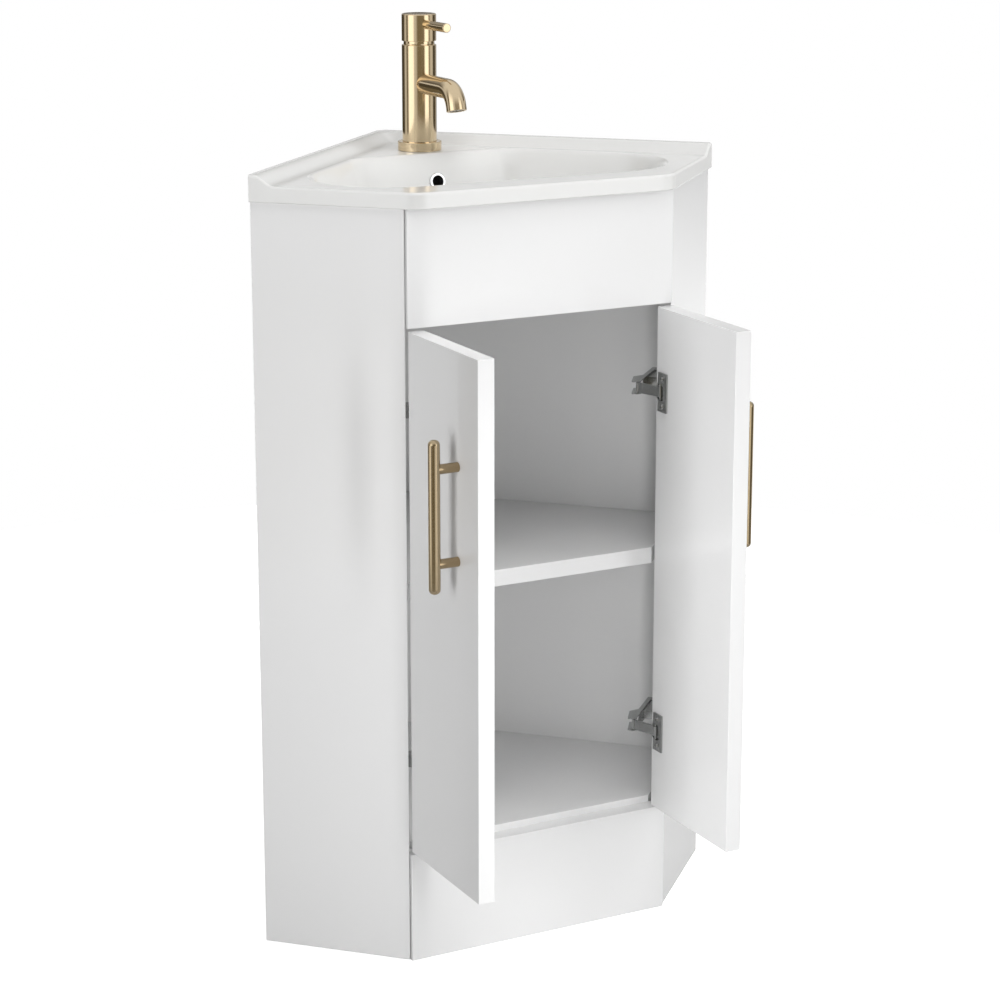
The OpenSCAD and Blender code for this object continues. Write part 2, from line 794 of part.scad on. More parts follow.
module overflow_ring() {
    tube = duct_skin - 1.5;
    color("silver") translate([0, -overflow_y, rim_z - overflow_drop])
        rotate([-90 - overflow_tilt, 0, 0]) rotate_extrude() polygon([
            [6.75, -1.6], [8.9, -1.6], [9.7, -0.9], [9.7, 0],
            [overflow_d / 2 - fit, 0], [overflow_d / 2 - fit, tube], [6.75, tube]
        ]);
}

// ---- Tap ---------------------------------------------------------------------------------

module tap_body() {
    top_in = pivot_z - groove_rise * cavity_r;
    top_out = pivot_z - groove_w / 2;
    shoulder = pivot_z - cartridge_len - 8;
    color(brass) translate([0, -tap_y, 0]) difference() {
        rotate_extrude() polygon([
            [0, rim_z], [tap_r, rim_z], [tap_r, top_out], [cavity_r, top_in],
            [cavity_r, shoulder], [0, shoulder]
        ]);
        translate([0, -tap_r + 6, rim_z + spout_z])
            rotate([90, 0, 0]) cylinder(h = tap_r, d = spout_d + 2 * fit);
        translate([0, -stud_y + tap_y, rim_z - cut])
            cylinder(h = 13 + cut, d = stud_d + 2 * fit, $fn = 32);
        for (x = [-inlet_x, inlet_x]) translate([x, tap_y - inlet_y, rim_z - cut])
            cylinder(h = inlet_depth + cut, d = inlet_d);
        // Waterway from the cartridge to the spout
        translate([0, 0, rim_z + spout_z])
            rotate([90, 0, 0]) cylinder(h = tap_r, r = spout_bore, $fn = 40);
        translate([0, 0, rim_z + spout_z - spout_bore])
            cylinder(h = groove_z - spout_z, r = 6, $fn = 40);
    }
}

module tap_foot_ring() {
    chamfer = 0.8;
    outer = foot_d / 2;
    inner = tap_r + fit;
    recess = gasket_t + 0.1;
    color(brass) translate([0, -tap_y, rim_z]) rotate_extrude() polygon([
        [outer - 1.2, 0], [outer, 0.4], [outer, foot_h - chamfer], [outer - chamfer, foot_h],
        [inner, foot_h], [inner, recess], [outer - 1.2, recess]
    ]);
}

module tap_gasket() {
    color("black") translate([0, -tap_y, rim_z]) difference() {
        cylinder(h = gasket_t, d = foot_d - 2.6);
        translate([0, 0, -cut]) cylinder(h = gasket_t + 2 * cut, r = tap_r + 2 * fit);
    }
}

// A ring round the spout's path: out is its distance from the tap's axis, up its height above
// the spout's axis, and turn how far the path has bent down
function spout_ring(out, up, turn, r) =
    [for (k = [0:spout_sides - 1]) let (a = 360 * k / spout_sides)
        [-r * sin(a), -out - r * cos(a) * sin(turn), up + r * cos(a) * cos(turn)]];

// The spout's path: straight out of the body, round the bend and straight to past the outlet
module spout_sweep(r, start, past) {
    tip = spout_tip + past;
    skin(concat(
        [spout_ring(start, 0, 0, r)],
        [for (i = [0:bend_steps]) let (turn = bend_angle * i / bend_steps)
            spout_ring(spout_run + bend_r * sin(turn), -bend_r * (1 - cos(turn)), turn, r)],
        [spout_ring(spout_run + bend_r * sin(bend_angle) + tip * cos(bend_angle),
            -bend_r * (1 - cos(bend_angle)) - tip * sin(bend_angle), bend_angle, r)]
    ));
}

module tap_spout() {
    color(brass) translate([0, -tap_y, rim_z + spout_z]) difference() {
        spout_sweep(spout_d / 2, tap_r - 6, 0);
        spout_sweep(spout_bore, tap_r - 6 - cut, cut);
    }
}

// A frame at the spout's outlet, with z pointing out of it
module at_outlet() {
    translate([0, -spout_run - bend_r * sin(bend_angle), -bend_r * (1 - cos(bend_angle))])
        rotate([90 + bend_angle, 0, 0]) translate([0, 0, spout_tip]) children();
}

module tap_aerator() {
    depth = 4;
    seat = spout_bore * cos(180 / spout_sides) - fit;
    color("dimgray") translate([0, -tap_y, rim_z + spout_z]) at_outlet() translate([0, 0, -depth - cut])
        difference() {
            cylinder(h = depth, r = seat);
            for (a = [0:60:300]) rotate(a) translate([4.6, 0, depth - 1.5])
                cylinder(h = 2, r = 1.6, $fn = 24);
            translate([0, 0, depth - 1.5]) cylinder(h = 2, r = 1.6, $fn = 24);
        }
}

// Cartridge: it turns in the body, and its tongue carries the cap on the cross pin
module tap_cartridge() {
    base = pivot_z - cartridge_len - 6;
    top = pivot_z - 10;
    color("lightgray") translate([0, -tap_y, 0]) difference() {
        union() {
            translate([0, 0, base]) cylinder(h = top - base, r = cavity_r - fit);
            translate([-tongue_half, -lug_half, top - cut])
                cube([2 * tongue_half, 2 * lug_half, pivot_z - top + cut]);
            translate([-tongue_half, 0, pivot_z])
                rotate([0, 90, 0]) cylinder(h = 2 * tongue_half, r = lug_half, $fn = 48);
        }
        translate([-tongue_half - cut, 0, pivot_z]) rotate([0, 90, 0])
            cylinder(h = 2 * (tongue_half + cut), d = cross_d + 2 * fit, $fn = 32);
    }
}

module tap_cap() {
    bottom_in = groove_rise * cavity_r;
    round = 1.5;
    ceiling = lever_z - lever_d / 2 - 4;
    color(brass) translate([0, -tap_y, pivot_z]) difference() {
        union() {
            rotate_extrude() polygon(concat(
                [[0, cap_h], [0, ceiling], [cavity_r, ceiling], [cavity_r, bottom_in],
                 [tap_r, groove_w / 2]],
                arc([tap_r - round, cap_h - round], round, 0, 90, 4)
            ));
            for (side = [-1, 1]) scale([side, 1, 1])
                translate([tongue_half + lug_gap, -lug_half, -lug_half])
                    cube([lug_out - tongue_half - lug_gap, 2 * lug_half, ceiling + lug_half + cut]);
        }
        translate([-lug_out - cut, 0, 0]) rotate([0, 90, 0])
            cylinder(h = 2 * (lug_out + cut), d = cross_d + 2 * fit, $fn = 32);
        translate([0, -tap_r + 7, lever_z]) rotate([90, 0, 0])
            cylinder(h = tap_r, d = lever_d + 2 * fit);
    }
}

module tap_cross_pin() {
    color("silver") translate([-lug_out + 0.5, -tap_y, pivot_z])
        rotate([0, 90, 0]) cylinder(h = 2 * lug_out - 1, d = cross_d, $fn = 32);
}

module tap_lever_pin() {
    length = lever_out + 7;
    round = 1;
    color(brass) translate([0, -tap_y - tap_r + 7, pivot_z + lever_z]) rotate([90, 0, 0])
        rotate_extrude() polygon(concat(
            [[0, 0], [lever_d / 2, 0]],
            arc([lever_d / 2 - round, length - round], round, 0, 90, 4),
            [[0, length]]
        ));
}

module tap_stud() {
    color("silver") translate([0, -stud_y, rim_z - stud_len])
        cylinder(h = stud_len + 12, d = stud_d, $fn = 32);
}

module tap_horseshoe() {
    slot_w = 2 * (inlet_x + inlet_d / 2 + 1);
    color("silver") translate([0, -tap_y, basin_z - horseshoe_t]) difference() {
        cylinder(h = horseshoe_t, r = horseshoe_r);
        translate([-slot_w / 2, -2.5, -cut]) cube([slot_w, horseshoe_r + 5, horseshoe_t + 2 * cut]);
        translate([0, tap_y - stud_y, -cut])
            cylinder(h = horseshoe_t + 2 * cut, d = stud_d + 2 * fit, $fn = 32);
    }
}

module tap_nut() {
    color("silver") translate([0, -stud_y, basin_z - horseshoe_t - nut_h]) difference() {
        cylinder(h = nut_h, d = 14, $fn = 6);
        translate([0, 0, -cut]) cylinder(h = nut_h + 2 * cut, d = stud_d + 2 * fit, $fn = 32);
    }
}

// ---- Waste -------------------------------------------------------------------------------

module waste_body() {
    flange = waste_flange_d / 2;
    bore = waste_bore / 2;
    relief = waste_low + waste_tail;
    color("silver") translate([0, -drain_y, drain_z]) difference() {
        union() {
            rotate_extrude() polygon([
                [bore, waste_low], [waste_r, waste_low], [waste_r, relief],
                [waste_r - 0.8, relief], [waste_r - 0.8, relief + relief_h],
                [waste_r, relief + relief_h], [waste_r, 0], [flange, 0], [flange, 0.8],
                [flange - 2.5, waste_flange_t], [bore + 2.5, waste_flange_t], [bore, -1]
            ]);
            // Guide for the plug's stem: a hub on three arms
            translate([0, 0, guide_z - drain_z]) {
                cylinder(h = guide_h, d = plug_stem_d + 8);
                for (a = [30, 150, 270]) rotate(a)
                    translate([plug_stem_d / 2 + 2, -1.5, 0]) cube([bore - plug_stem_d / 2, 3, guide_h]);
            }
        }
        translate([0, 0, guide_z - drain_z - cut])
            cylinder(h = guide_h + 2 * cut, d = plug_stem_d + 4 * fit, $fn = 40);
        // Slots that let the overflow's water in
        translate([-7, -waste_d, -bowl_floor + 3]) cube([14, 2 * waste_d, 5.5]);
    }
}

module waste_plug() {
    r = plug_d / 2;
    stem = guide_z - drain_z - 3;
    under = waste_flange_t + plug_gap;
    color("silver") translate([0, -drain_y, drain_z]) rotate_extrude() polygon([
        [0, stem], [plug_stem_d / 2, stem], [plug_stem_d / 2, under], [r - 1, under], [r, under + 1],
        [r - 1.5, under + 2.4], [r * 0.7, under + 4], [r * 0.35, under + plug_t - 0.2],
        [0, under + plug_t]
    ]);
}

module waste_plug_seal() {
    inner = plug_stem_d / 2 + fit;
    outer = waste_bore / 2 - 0.6;
    top = waste_flange_t + plug_gap;
    color("black") translate([0, -drain_y, drain_z]) rotate_extrude() polygon([
        [inner, top - 2.2], [outer - 0.8, top - 2.2], [outer, top - 1.4], [outer, top], [inner, top]
    ]);
}

module waste_ring(outer, top, height, shade) {
    color(shade) translate([0, -drain_y, top - height]) difference() {
        cylinder(h = height, r = outer);
        translate([0, 0, -cut]) cylinder(h = height + 2 * cut, r = waste_r + fit);
    }
}

module waste_seal() {
    waste_ring(31, waste_under, waste_seal_t, "black");
}

module waste_washer() {
    waste_ring(31, waste_under - waste_seal_t, waste_washer_t, "whitesmoke");
}

module waste_nut() {
    top = waste_under - waste_seal_t - waste_washer_t;
    color("silver") translate([0, -drain_y, top - waste_nut_h]) difference() {
        cylinder(h = waste_nut_h, d = 58, $fn = 8);
        translate([0, 0, -cut]) cylinder(h = waste_nut_h + 2 * cut, r = waste_r + fit);
    }
}

// ---- Nodes -------------------------------------------------------------------------------

module left() {
    mirror([1, 0, 0]) children();
}

left() side_panel();  // left_side_panel
side_panel();  // right_side_panel
left() back_panel(0);  // left_back_panel
back_panel(back_t);  // right_back_panel
floor_panel();
shelf();
shelf_pins();
front_stretcher();
corner_blocks();
fascia();
plinth();
left() door();  // left_door
door();  // right_door
left() handle_bar();  // left_handle_bar
handle_bar();  // right_handle_bar
left() handle_posts();  // left_handle_posts
handle_posts();  // right_handle_posts
left() handle_inserts();  // left_handle_inserts
handle_inserts();  // right_handle_inserts
left() hinge_cups();  // left_hinge_cups
hinge_cups();  // right_hinge_cups
left() hinge_cup_screws();  // left_hinge_cup_screws
hinge_cup_screws();  // right_hinge_cup_screws
left() hinge_pins();  // left_hinge_pins
hinge_pins();  // right_hinge_pins
left() hinge_links();  // left_hinge_links
hinge_links();  // right_hinge_links
left() hinge_arms();  // left_hinge_arms
hinge_arms();  // right_hinge_arms
left() hinge_plates();  // left_hinge_plates
hinge_plates();  // right_hinge_plates
left() plate_screws();  // left_plate_screws
plate_screws();  // right_plate_screws
left() arm_screws();  // left_arm_screws
arm_screws();  // right_arm_screws
basin();
overflow_ring();
tap_body();
tap_foot_ring();
tap_gasket();
tap_spout();
tap_aerator();
tap_cartridge();
tap_cap();
tap_lever_pin();
tap_cross_pin();
tap_stud();
tap_horseshoe();
tap_nut();
waste_body();
waste_plug();
waste_plug_seal();
waste_seal();
waste_washer();
waste_nut();
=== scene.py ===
"""Looks for the corner vanity unit: gloss boards, glazed basin, brushed brass tap and handles."""
import json
import math
import bpy
import bmesh
import numpy as np
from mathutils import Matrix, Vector
from mathutils.geometry import delaunay_2d_cdt


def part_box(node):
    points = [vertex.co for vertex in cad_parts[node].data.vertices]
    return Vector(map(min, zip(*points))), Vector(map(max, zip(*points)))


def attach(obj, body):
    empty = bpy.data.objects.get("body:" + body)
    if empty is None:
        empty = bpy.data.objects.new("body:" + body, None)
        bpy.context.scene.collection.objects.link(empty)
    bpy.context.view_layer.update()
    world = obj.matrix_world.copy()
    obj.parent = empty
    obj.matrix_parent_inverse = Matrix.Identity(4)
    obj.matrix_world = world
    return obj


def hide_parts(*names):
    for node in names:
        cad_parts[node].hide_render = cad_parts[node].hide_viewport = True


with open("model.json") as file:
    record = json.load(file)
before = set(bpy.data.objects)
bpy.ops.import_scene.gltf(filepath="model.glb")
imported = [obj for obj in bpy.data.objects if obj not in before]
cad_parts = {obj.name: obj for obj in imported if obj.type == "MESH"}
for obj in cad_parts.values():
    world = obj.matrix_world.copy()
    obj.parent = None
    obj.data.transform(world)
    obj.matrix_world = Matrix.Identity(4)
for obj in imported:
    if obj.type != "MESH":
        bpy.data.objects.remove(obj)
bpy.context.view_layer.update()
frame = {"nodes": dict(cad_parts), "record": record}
MM = 0.001

# ---- Materials ---------------------------------------------------------------------------

# A Mix node has several sockets of each name: these are its factor and its colours
MIX_FACTOR, MIX_FIRST, MIX_SECOND, MIX_RESULT = 0, 6, 7, 2


class Shader:
    """A material of one Principled shader and the nodes that feed it."""

    def __init__(self, name, **sockets):
        self.material = bpy.data.materials.new(name)
        self.material.use_nodes = True
        self.tree = self.material.node_tree
        self.tree.nodes.clear()
        self.out = self.node("OutputMaterial")
        self.bsdf = self.node("BsdfPrincipled")
        self.link(self.bsdf.outputs[0], self.out.inputs[0])
        for key, value in sockets.items():
            if isinstance(value, tuple):
                value = (*value, 1)
            self.bsdf.inputs[key.replace("_", " ")].default_value = value
        self.coord = self.node("TexCoord").outputs["Object"]

    def link(self, output, target):
        self.tree.links.new(output, target)

    def feed(self, socket, output):
        """Links an output to a socket of the Principled shader."""
        self.link(output, self.bsdf.inputs[socket])

    def node(self, kind, **values):
        """A new node: each value goes to the input of that name, or else to its setting."""
        made = self.tree.nodes.new("ShaderNode" + kind)
        for key, value in values.items():
            if key in made.inputs:
                made.inputs[key].default_value = value
            else:
                setattr(made, key, value)
        return made

    def scaled(self, x, y, z):
        """The object's coordinates, scaled along each axis."""
        mapping = self.node("Mapping", Scale=(x, y, z))
        self.link(self.coord, mapping.inputs["Vector"])
        return mapping.outputs[0]

    def noise(self, where, scale, detail, rough=0.5):
        made = self.node("TexNoise", Scale=scale, Detail=detail, Roughness=rough)
        self.link(where, made.inputs["Vector"])
        return made.outputs["Fac"]

    def spread(self, value, low, high, start=0.0, end=1.0):
        """Goes from low to high while value goes from start to end."""
        made = self.node("MapRange")
        for key, v in (("From Min", start), ("From Max", end), ("To Min", low), ("To Max", high)):
            made.inputs[key].default_value = v
        self.link(value, made.inputs["Value"])
        return made.outputs[0]

    def mix(self, factor, first, second):
        """A colour between two."""
        made = self.node("Mix", data_type="RGBA")
        self.link(factor, made.inputs[MIX_FACTOR])
        made.inputs[MIX_FIRST].default_value = (*first, 1)
        made.inputs[MIX_SECOND].default_value = (*second, 1)
        return made.outputs[MIX_RESULT]

    def bump(self, height, distance, strength):
        made = self.node("Bump", Strength=strength, Distance=distance)
        self.link(height, made.inputs["Height"])
        self.feed("Normal", made.outputs[0])


def darker(colour, share):
    return tuple(v * share for v in colour)


def gloss_board(name, colour):
    """Gloss board: a faint unevenness of tone, gloss and surface, under a clear coat."""
    shader = Shader(name, Specular_IOR_Level=0.5, Coat_Weight=0.35, Coat_Roughness=0.05)
    broad = shader.noise(shader.coord, scale=2.2, detail=2.0)
    shader.feed("Base Color", shader.mix(broad, darker(colour, 0.985), colour))
    fine = shader.noise(shader.coord, scale=260.0, detail=2.0, rough=0.4)
    shader.feed("Roughness", shader.spread(fine, 0.13, 0.19))
    ripple = shader.noise(shader.coord, scale=90.0, detail=2.0, rough=0.35)
    shader.bump(ripple, distance=0.00004, strength=0.5)
    return shader.material


def glaze(name, pooled_colour, colour):
    """Ceramic glaze: colour pooled in soft patches, and a fine waviness."""
    shader = Shader(name, Specular_IOR_Level=0.45, Coat_Weight=0.2, Coat_Roughness=0.06)
    pooled = shader.noise(shader.coord, scale=14.0, detail=3.0)
    shader.feed("Base Color", shader.mix(pooled, pooled_colour, colour))
    fine = shader.noise(shader.coord, scale=120.0, detail=2.0)
    shader.feed("Roughness", shader.spread(fine, 0.13, 0.18))
    wave = shader.noise(shader.coord, scale=32.0, detail=2.0, rough=0.4)
    shader.bump(wave, distance=0.00012, strength=0.35)
    return shader.material


def brushed(name, dark, light, grain, rough, relief):
    """Metal with fine brush marks: grain is how close they lie along each axis, relief their height."""
    shader = Shader(name, Metallic=1.0)
    marks = shader.noise(shader.scaled(*grain), scale=1.0, detail=4.0, rough=0.7)
    broad = shader.noise(shader.coord, scale=45.0, detail=3.0)
    shader.feed("Base Color", shader.mix(marks, dark, light))
    # The gloss varies with broad patches and with a share of the marks
    marks_share = 0.7
    both = shader.node("Math", operation="MULTIPLY_ADD")
    shader.link(marks, both.inputs[0])
    both.inputs[1].default_value = marks_share
    shader.link(broad, both.inputs[2])
    shader.feed("Roughness", shader.spread(both.outputs[0], *rough, start=0.4, end=1.3))
    shader.bump(marks, distance=relief, strength=0.6)
    return shader.material


def plain(name, colour, rough, scale, spread=0.1, metallic=0.0, relief=0.00004):
    """One fine noise varies the tone, the gloss and the surface."""
    shader = Shader(name, Metallic=metallic)
    tone = shader.noise(shader.coord, scale=scale, detail=4.0, rough=0.6)
    shader.feed("Base Color", shader.mix(tone, darker(colour, 0.86), colour))
    shader.feed("Roughness", shader.spread(tone, rough, rough + spread, start=0.3, end=0.7))
    shader.bump(tone, distance=relief, strength=0.4)
    return shader.material


def brass(name, dark, light, rough):
    return brushed(name, dark, light, grain=(60, 60, 2600), rough=rough, relief=0.000006)


WHITE = gloss_board("gloss_white", (0.86, 0.86, 0.86))
GLAZE = glaze("glaze", (0.825, 0.825, 0.81), (0.85, 0.85, 0.84))
BRASS = brass("brushed_brass", (0.65, 0.515, 0.33), (0.74, 0.605, 0.41), (0.10, 0.16))
# Painted shade: the handle bars and, darker still, their posts are copies of the tap's brass, darkened
# for the shaded door that they mirror
HANDLE_BRASS_PAINTED_SHADE = brass("handle_brass_painted_shade", (0.42, 0.33, 0.205), (0.50, 0.405, 0.265), (0.12, 0.18))
POST_BRASS_PAINTED_SHADE = brass("post_brass_painted_shade", (0.35, 0.265, 0.155), (0.42, 0.325, 0.205), (0.12, 0.18))
NICKEL = brushed(
    "satin_nickel", (0.35, 0.355, 0.35), (0.45, 0.455, 0.45),
    grain=(420, 420, 420), rough=(0.2, 0.3), relief=0.00001,
)
CHROME = plain(
    "polished_chrome", (0.80, 0.81, 0.82), 0.05, 60.0, spread=0.04, metallic=1.0, relief=0.000005
)
RUBBER = plain("black_rubber", (0.02, 0.02, 0.02), 0.55, 400.0)
PLASTIC = plain("grey_plastic", (0.32, 0.33, 0.34), 0.38, 500.0)
# Painted shade: the faces inside the basin's overflow duct and hole, near black as if unlit
DUCT_PAINTED_SHADE = plain("duct_painted_shade", (0.035, 0.035, 0.035), 0.6, 300.0)
SLOT_LOOK = {
    "gloss_white": WHITE, "glazed": GLAZE, "brushed_brass": BRASS, "nickel": NICKEL,
    "polished_chrome": CHROME, "black_rubber": RUBBER, "grey_plastic": PLASTIC,
}
slot_of = {part["node"]: part["material_slot"] for part in frame["record"]["subparts"]}


def look_of(node):
    return SLOT_LOOK[slot_of[node]]


for node, obj in frame["nodes"].items():
    for material_slot in obj.material_slots:
        material_slot.material = look_of(node)

# ---- Mesh helpers ------------------------------------------------------------------------

shown_by_copy = set()


def body_of(node):
    return next(b for b, nodes in frame["record"]["behaviour"]["bodies"].items() if node in nodes)


def smooth(obj, angle):
    """Smooth shading with sharp edges over an angle, weighted by face area."""
    for polygon in obj.data.polygons:
        polygon.use_smooth = True
    mesh = bmesh.new()
    mesh.from_mesh(obj.data)
    for edge in mesh.edges:
        edge.smooth = len(edge.link_faces) != 2 or edge.calc_face_angle(0) < math.radians(angle)
    mesh.to_mesh(obj.data)
    mesh.free()
    weighted = obj.modifiers.new("weighted", "WEIGHTED_NORMAL")
    weighted.keep_sharp = True


def place(mesh, name, material, node, shade_angle=35.0):
    """Turns a bmesh into a piece that stands for a CAD node and rides on its body."""
    data = bpy.data.meshes.new(name)
    mesh.to_mesh(data)
    mesh.free()
    obj = bpy.data.objects.new(name, data)
    bpy.context.scene.collection.objects.link(obj)
    data.materials.append(material)
    smooth(obj, shade_angle)
    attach(obj, body_of(node))
    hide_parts(node)
    shown_by_copy.add(node)
    return obj


def joined(mesh, *rings):
    """Faces between each ring of vertices and the next."""
    for low, high in zip(rings, rings[1:]):
        for k in range(len(low)):
            j = (k + 1) % len(low)
            mesh.faces.new((low[k], low[j], high[j], high[k]))


def circle(centre, r, sides=64):
    angles = [2 * math.pi * k / sides for k in range(sides)]
    return [(centre[0] + r * math.cos(a), centre[1] + r * math.sin(a)) for a in angles]


def welded(node):
    """A copy of a CAD node's mesh with its flat faces joined up again."""
    mesh = bmesh.new()
    mesh.from_mesh(frame["nodes"][node].data)
    bmesh.ops.remove_doubles(mesh, verts=mesh.verts, dist=1e-6)
    bmesh.ops.dissolve_limit(mesh, angle_limit=math.radians(0.5), verts=mesh.verts, edges=mesh.edges)
    return mesh


def eased(node, width, longer_than):
    """Stands for a node: its own shape, with edges of some length rounded by width."""
    mesh = welded(node)
    sharp = math.radians(30)
    edges = [
        e for e in mesh.edges
        if e.calc_length() > longer_than * MM and e.calc_face_angle(0) > sharp
    ]
    bmesh.ops.bevel(
        mesh, geom=edges, offset=width * MM, segments=3, profile=0.5, affect="EDGES",
        clamp_overlap=True,
    )
    return place(mesh, node + "_board", look_of(node), node)


# ---- Boards ------------------------------------------------------------------------------

# The doors as in the photo, open at a right angle, in mm as in the CAD: x of their outer faces
# and y of their pivots
DOOR_FACE = 154.563
DOOR_PIVOT_Y = -393.609
BOARD_T = 18
HINGE_Z = (212.0, 590.5)
CUP_Y = DOOR_PIVOT_Y - 11.7
# Radii in mm between which the points of the CAD's cup bores lie, and what they become
CAD_BORE_R = (9.5, 10.3)
BORE_R = 10.45
# How far the edges of each board are rounded, in mm
BOARDS = {
    "left_side_panel": 0.6, "right_side_panel": 0.6, "left_back_panel": 0.5,
    "right_back_panel": 0.5, "floor_panel": 0.5, "shelf": 0.6, "fascia": 0.5, "plinth": 0.5,
    "left_door": 0.6, "right_door": 0.6, "front_stretcher": 0.5,
}


def widen_bores(door):
    """Makes the cup bores as wide as the flanges cover, clear of the links at full opening."""
    for v in door.data.vertices:
        for z in HINGE_Z:
            to = Vector((v.co.y - CUP_Y * MM, v.co.z - z * MM))
            if CAD_BORE_R[0] * MM < to.length < CAD_BORE_R[1] * MM:
                to *= BORE_R * MM / to.length
                v.co.y, v.co.z = CUP_Y * MM + to.x, z * MM + to.y


def boards():
    """The cabinet's boards and the doors, with rounded edges."""
    for node, width in BOARDS.items():
        board = eased(node, width, longer_than=20)
        if node.endswith("door"):
            widen_bores(board)


# ---- Turned and swept metal --------------------------------------------------------------


def filleted(points, radii, steps=4):
    """A profile with its corners rounded: radii[i] is the radius at points[i], 0 for sharp."""
    out = []
    for i, (p, r) in enumerate(zip(points, radii)):
        p = Vector(p)
        if r == 0 or i in (0, len(points) - 1):
            out.append(p)
            continue
        a, b = (Vector(points[i - 1]) - p).normalized(), (Vector(points[i + 1]) - p).normalized()
        half = a.angle(b) / 2
        cut_off = r / math.tan(half)
        centre = p + (a + b).normalized() * (r / math.sin(half))
        start, end = p + a * cut_off - centre, p + b * cut_off - centre
        turn = start.angle_signed(end)
        for k in range(steps + 1):
            angle = -turn * k / steps
            c, s = math.cos(angle), math.sin(angle)
            out.append(centre + Vector((start.x * c - start.y * s, start.x * s + start.y * c)))
    return out


def lathe(mesh, profile, origin, axis, sides=96):
    """Turns a profile round an axis; where it starts or ends off the axis, it closes on itself."""
    turn = Vector((0, 0, 1)).rotation_difference(axis).to_matrix()
    rings = []
    for p in profile:
        if p.x < 1e-6:
            at = [Vector((0, 0, p.y))]
        else:
            at = [Vector((x, y, p.y)) for x, y in circle((0, 0), p.x, sides)]
        rings.append([mesh.verts.new((turn @ v + origin) * MM) for v in at])
    if len(rings[0]) > 1:
        rings.append(rings[0])
    for low, high in zip(rings, rings[1:]):
        if len(low) == len(high) == sides:
            joined(mesh, low, high)
        elif len(high) > 1:
            for k in range(sides):
                mesh.faces.new((low[0], high[(k + 1) % sides], high[k]))
        elif len(low) > 1:
            for k in range(sides):
                mesh.faces.new((low[k], low[(k + 1) % sides], high[0]))


def turned(name, node, profile, radii, origins, axis=(0, 0, 1), look=None):
    """Solids of revolution: profile is (radius, height) in mm along axis from each origin."""
    mesh = bmesh.new()
    for origin in origins:
        lathe(mesh, filleted(profile, radii), Vector(origin), Vector(axis))
    bmesh.ops.recalc_face_normals(mesh, faces=mesh.faces)
    place(mesh, name, look or look_of(node), node)


# The tap, in mm: the cap tilts about a line in the middle of the groove, which is twice GROOVE
# wide, and its own heights count from there
RIM_Z = 821.0
TAP_Y = -105.0
TAP_R = 19.0
PIVOT_Z = RIM_Z + 118.3
GROOVE = 2.2
CAP_TOP, CAP_CEILING, CAP_CAVITY_R = 31.7, 11.7, 12.0
SPOUT_Z = RIM_Z + 74
# The ball-shaped neck that fills the groove, and the socket for it in the cap
NECK_R = 17.0
NECK_LOW = GROOVE / TAP_R * NECK_R
NECK_TOP = 4
SOCKET_TOP, SOCKET_GAP = 8.0, 0.1
TAP_BORE_R, TAP_BORE_DEPTH = 12.3, 34
# Rounding of the groove's edges, the cap's top and the lever's end
GROOVE_EDGE, CAP_EDGE, LEVER_EDGE = 0.35, 1.4, 0.9


def ball(r, start, stop, steps=8):
    """Points of a ball's profile between two heights, round the pivot."""
    heights = [start + (stop - start) * k / steps for k in range(steps + 1)]
    return [(math.sqrt(r * r - h * h), h) for h in heights]


def tap_pieces():
    """The tap's body, cap, foot ring and lever."""
    body = [
        (0, RIM_Z), (TAP_R, RIM_Z), (TAP_R, PIVOT_Z - GROOVE),
        *((r, PIVOT_Z + h) for r, h in ball(NECK_R, -NECK_LOW, NECK_TOP)),
        (TAP_BORE_R, PIVOT_Z + NECK_TOP), (TAP_BORE_R, PIVOT_Z - TAP_BORE_DEPTH),
        (0, PIVOT_Z - TAP_BORE_DEPTH),
    ]
    radii = [0, 0, GROOVE_EDGE] + [0] * (len(body) - 3)
    turned("tap_body_turned", "tap_body", body, radii, [(0, TAP_Y, 0)])
    cap = [
        (0, CAP_CEILING), (CAP_CAVITY_R, CAP_CEILING), (CAP_CAVITY_R, SOCKET_TOP),
        *ball(NECK_R + SOCKET_GAP, SOCKET_TOP, NECK_LOW),
        (TAP_R, GROOVE), (TAP_R, CAP_TOP), (0, CAP_TOP),
    ]
    radii = [0] * (len(cap) - 3) + [GROOVE_EDGE, CAP_EDGE, 0]
    turned("tap_cap_turned", "tap_cap", cap, radii, [(0, TAP_Y, PIVOT_Z)])
    # The foot ring slopes in a little at its lower edge, and the gasket lies in its recess
    inner, outer, height = TAP_R + 0.05, 24.25, 10
    recess_r, recess, slope_in, slope_up = 23.0, 1.5, 1.2, 0.4
    low_edge, top_edge = 0.2, 0.7
    foot = [
        (inner, recess), (recess_r, recess), (outer - slope_in, 0), (outer, slope_up),
        (outer, height), (inner, height),
    ]
    radii = [0, 0, 0, low_edge, top_edge, 0]
    turned("tap_foot_turned", "tap_foot_ring", foot, radii, [(0, TAP_Y, RIM_Z)])
    lever_r, length, inside_cap, lever_z = 5, 57, 7, PIVOT_Z + 20.7
    lever = [(0, 0), (lever_r, 0), (lever_r, length), (0, length)]
    start = (0, TAP_Y - TAP_R + inside_cap, lever_z)
    radii = [0, 0, LEVER_EDGE, 0]
    turned("tap_lever_turned", "tap_lever_pin", lever, radii, [start], axis=(0, -1, 0))


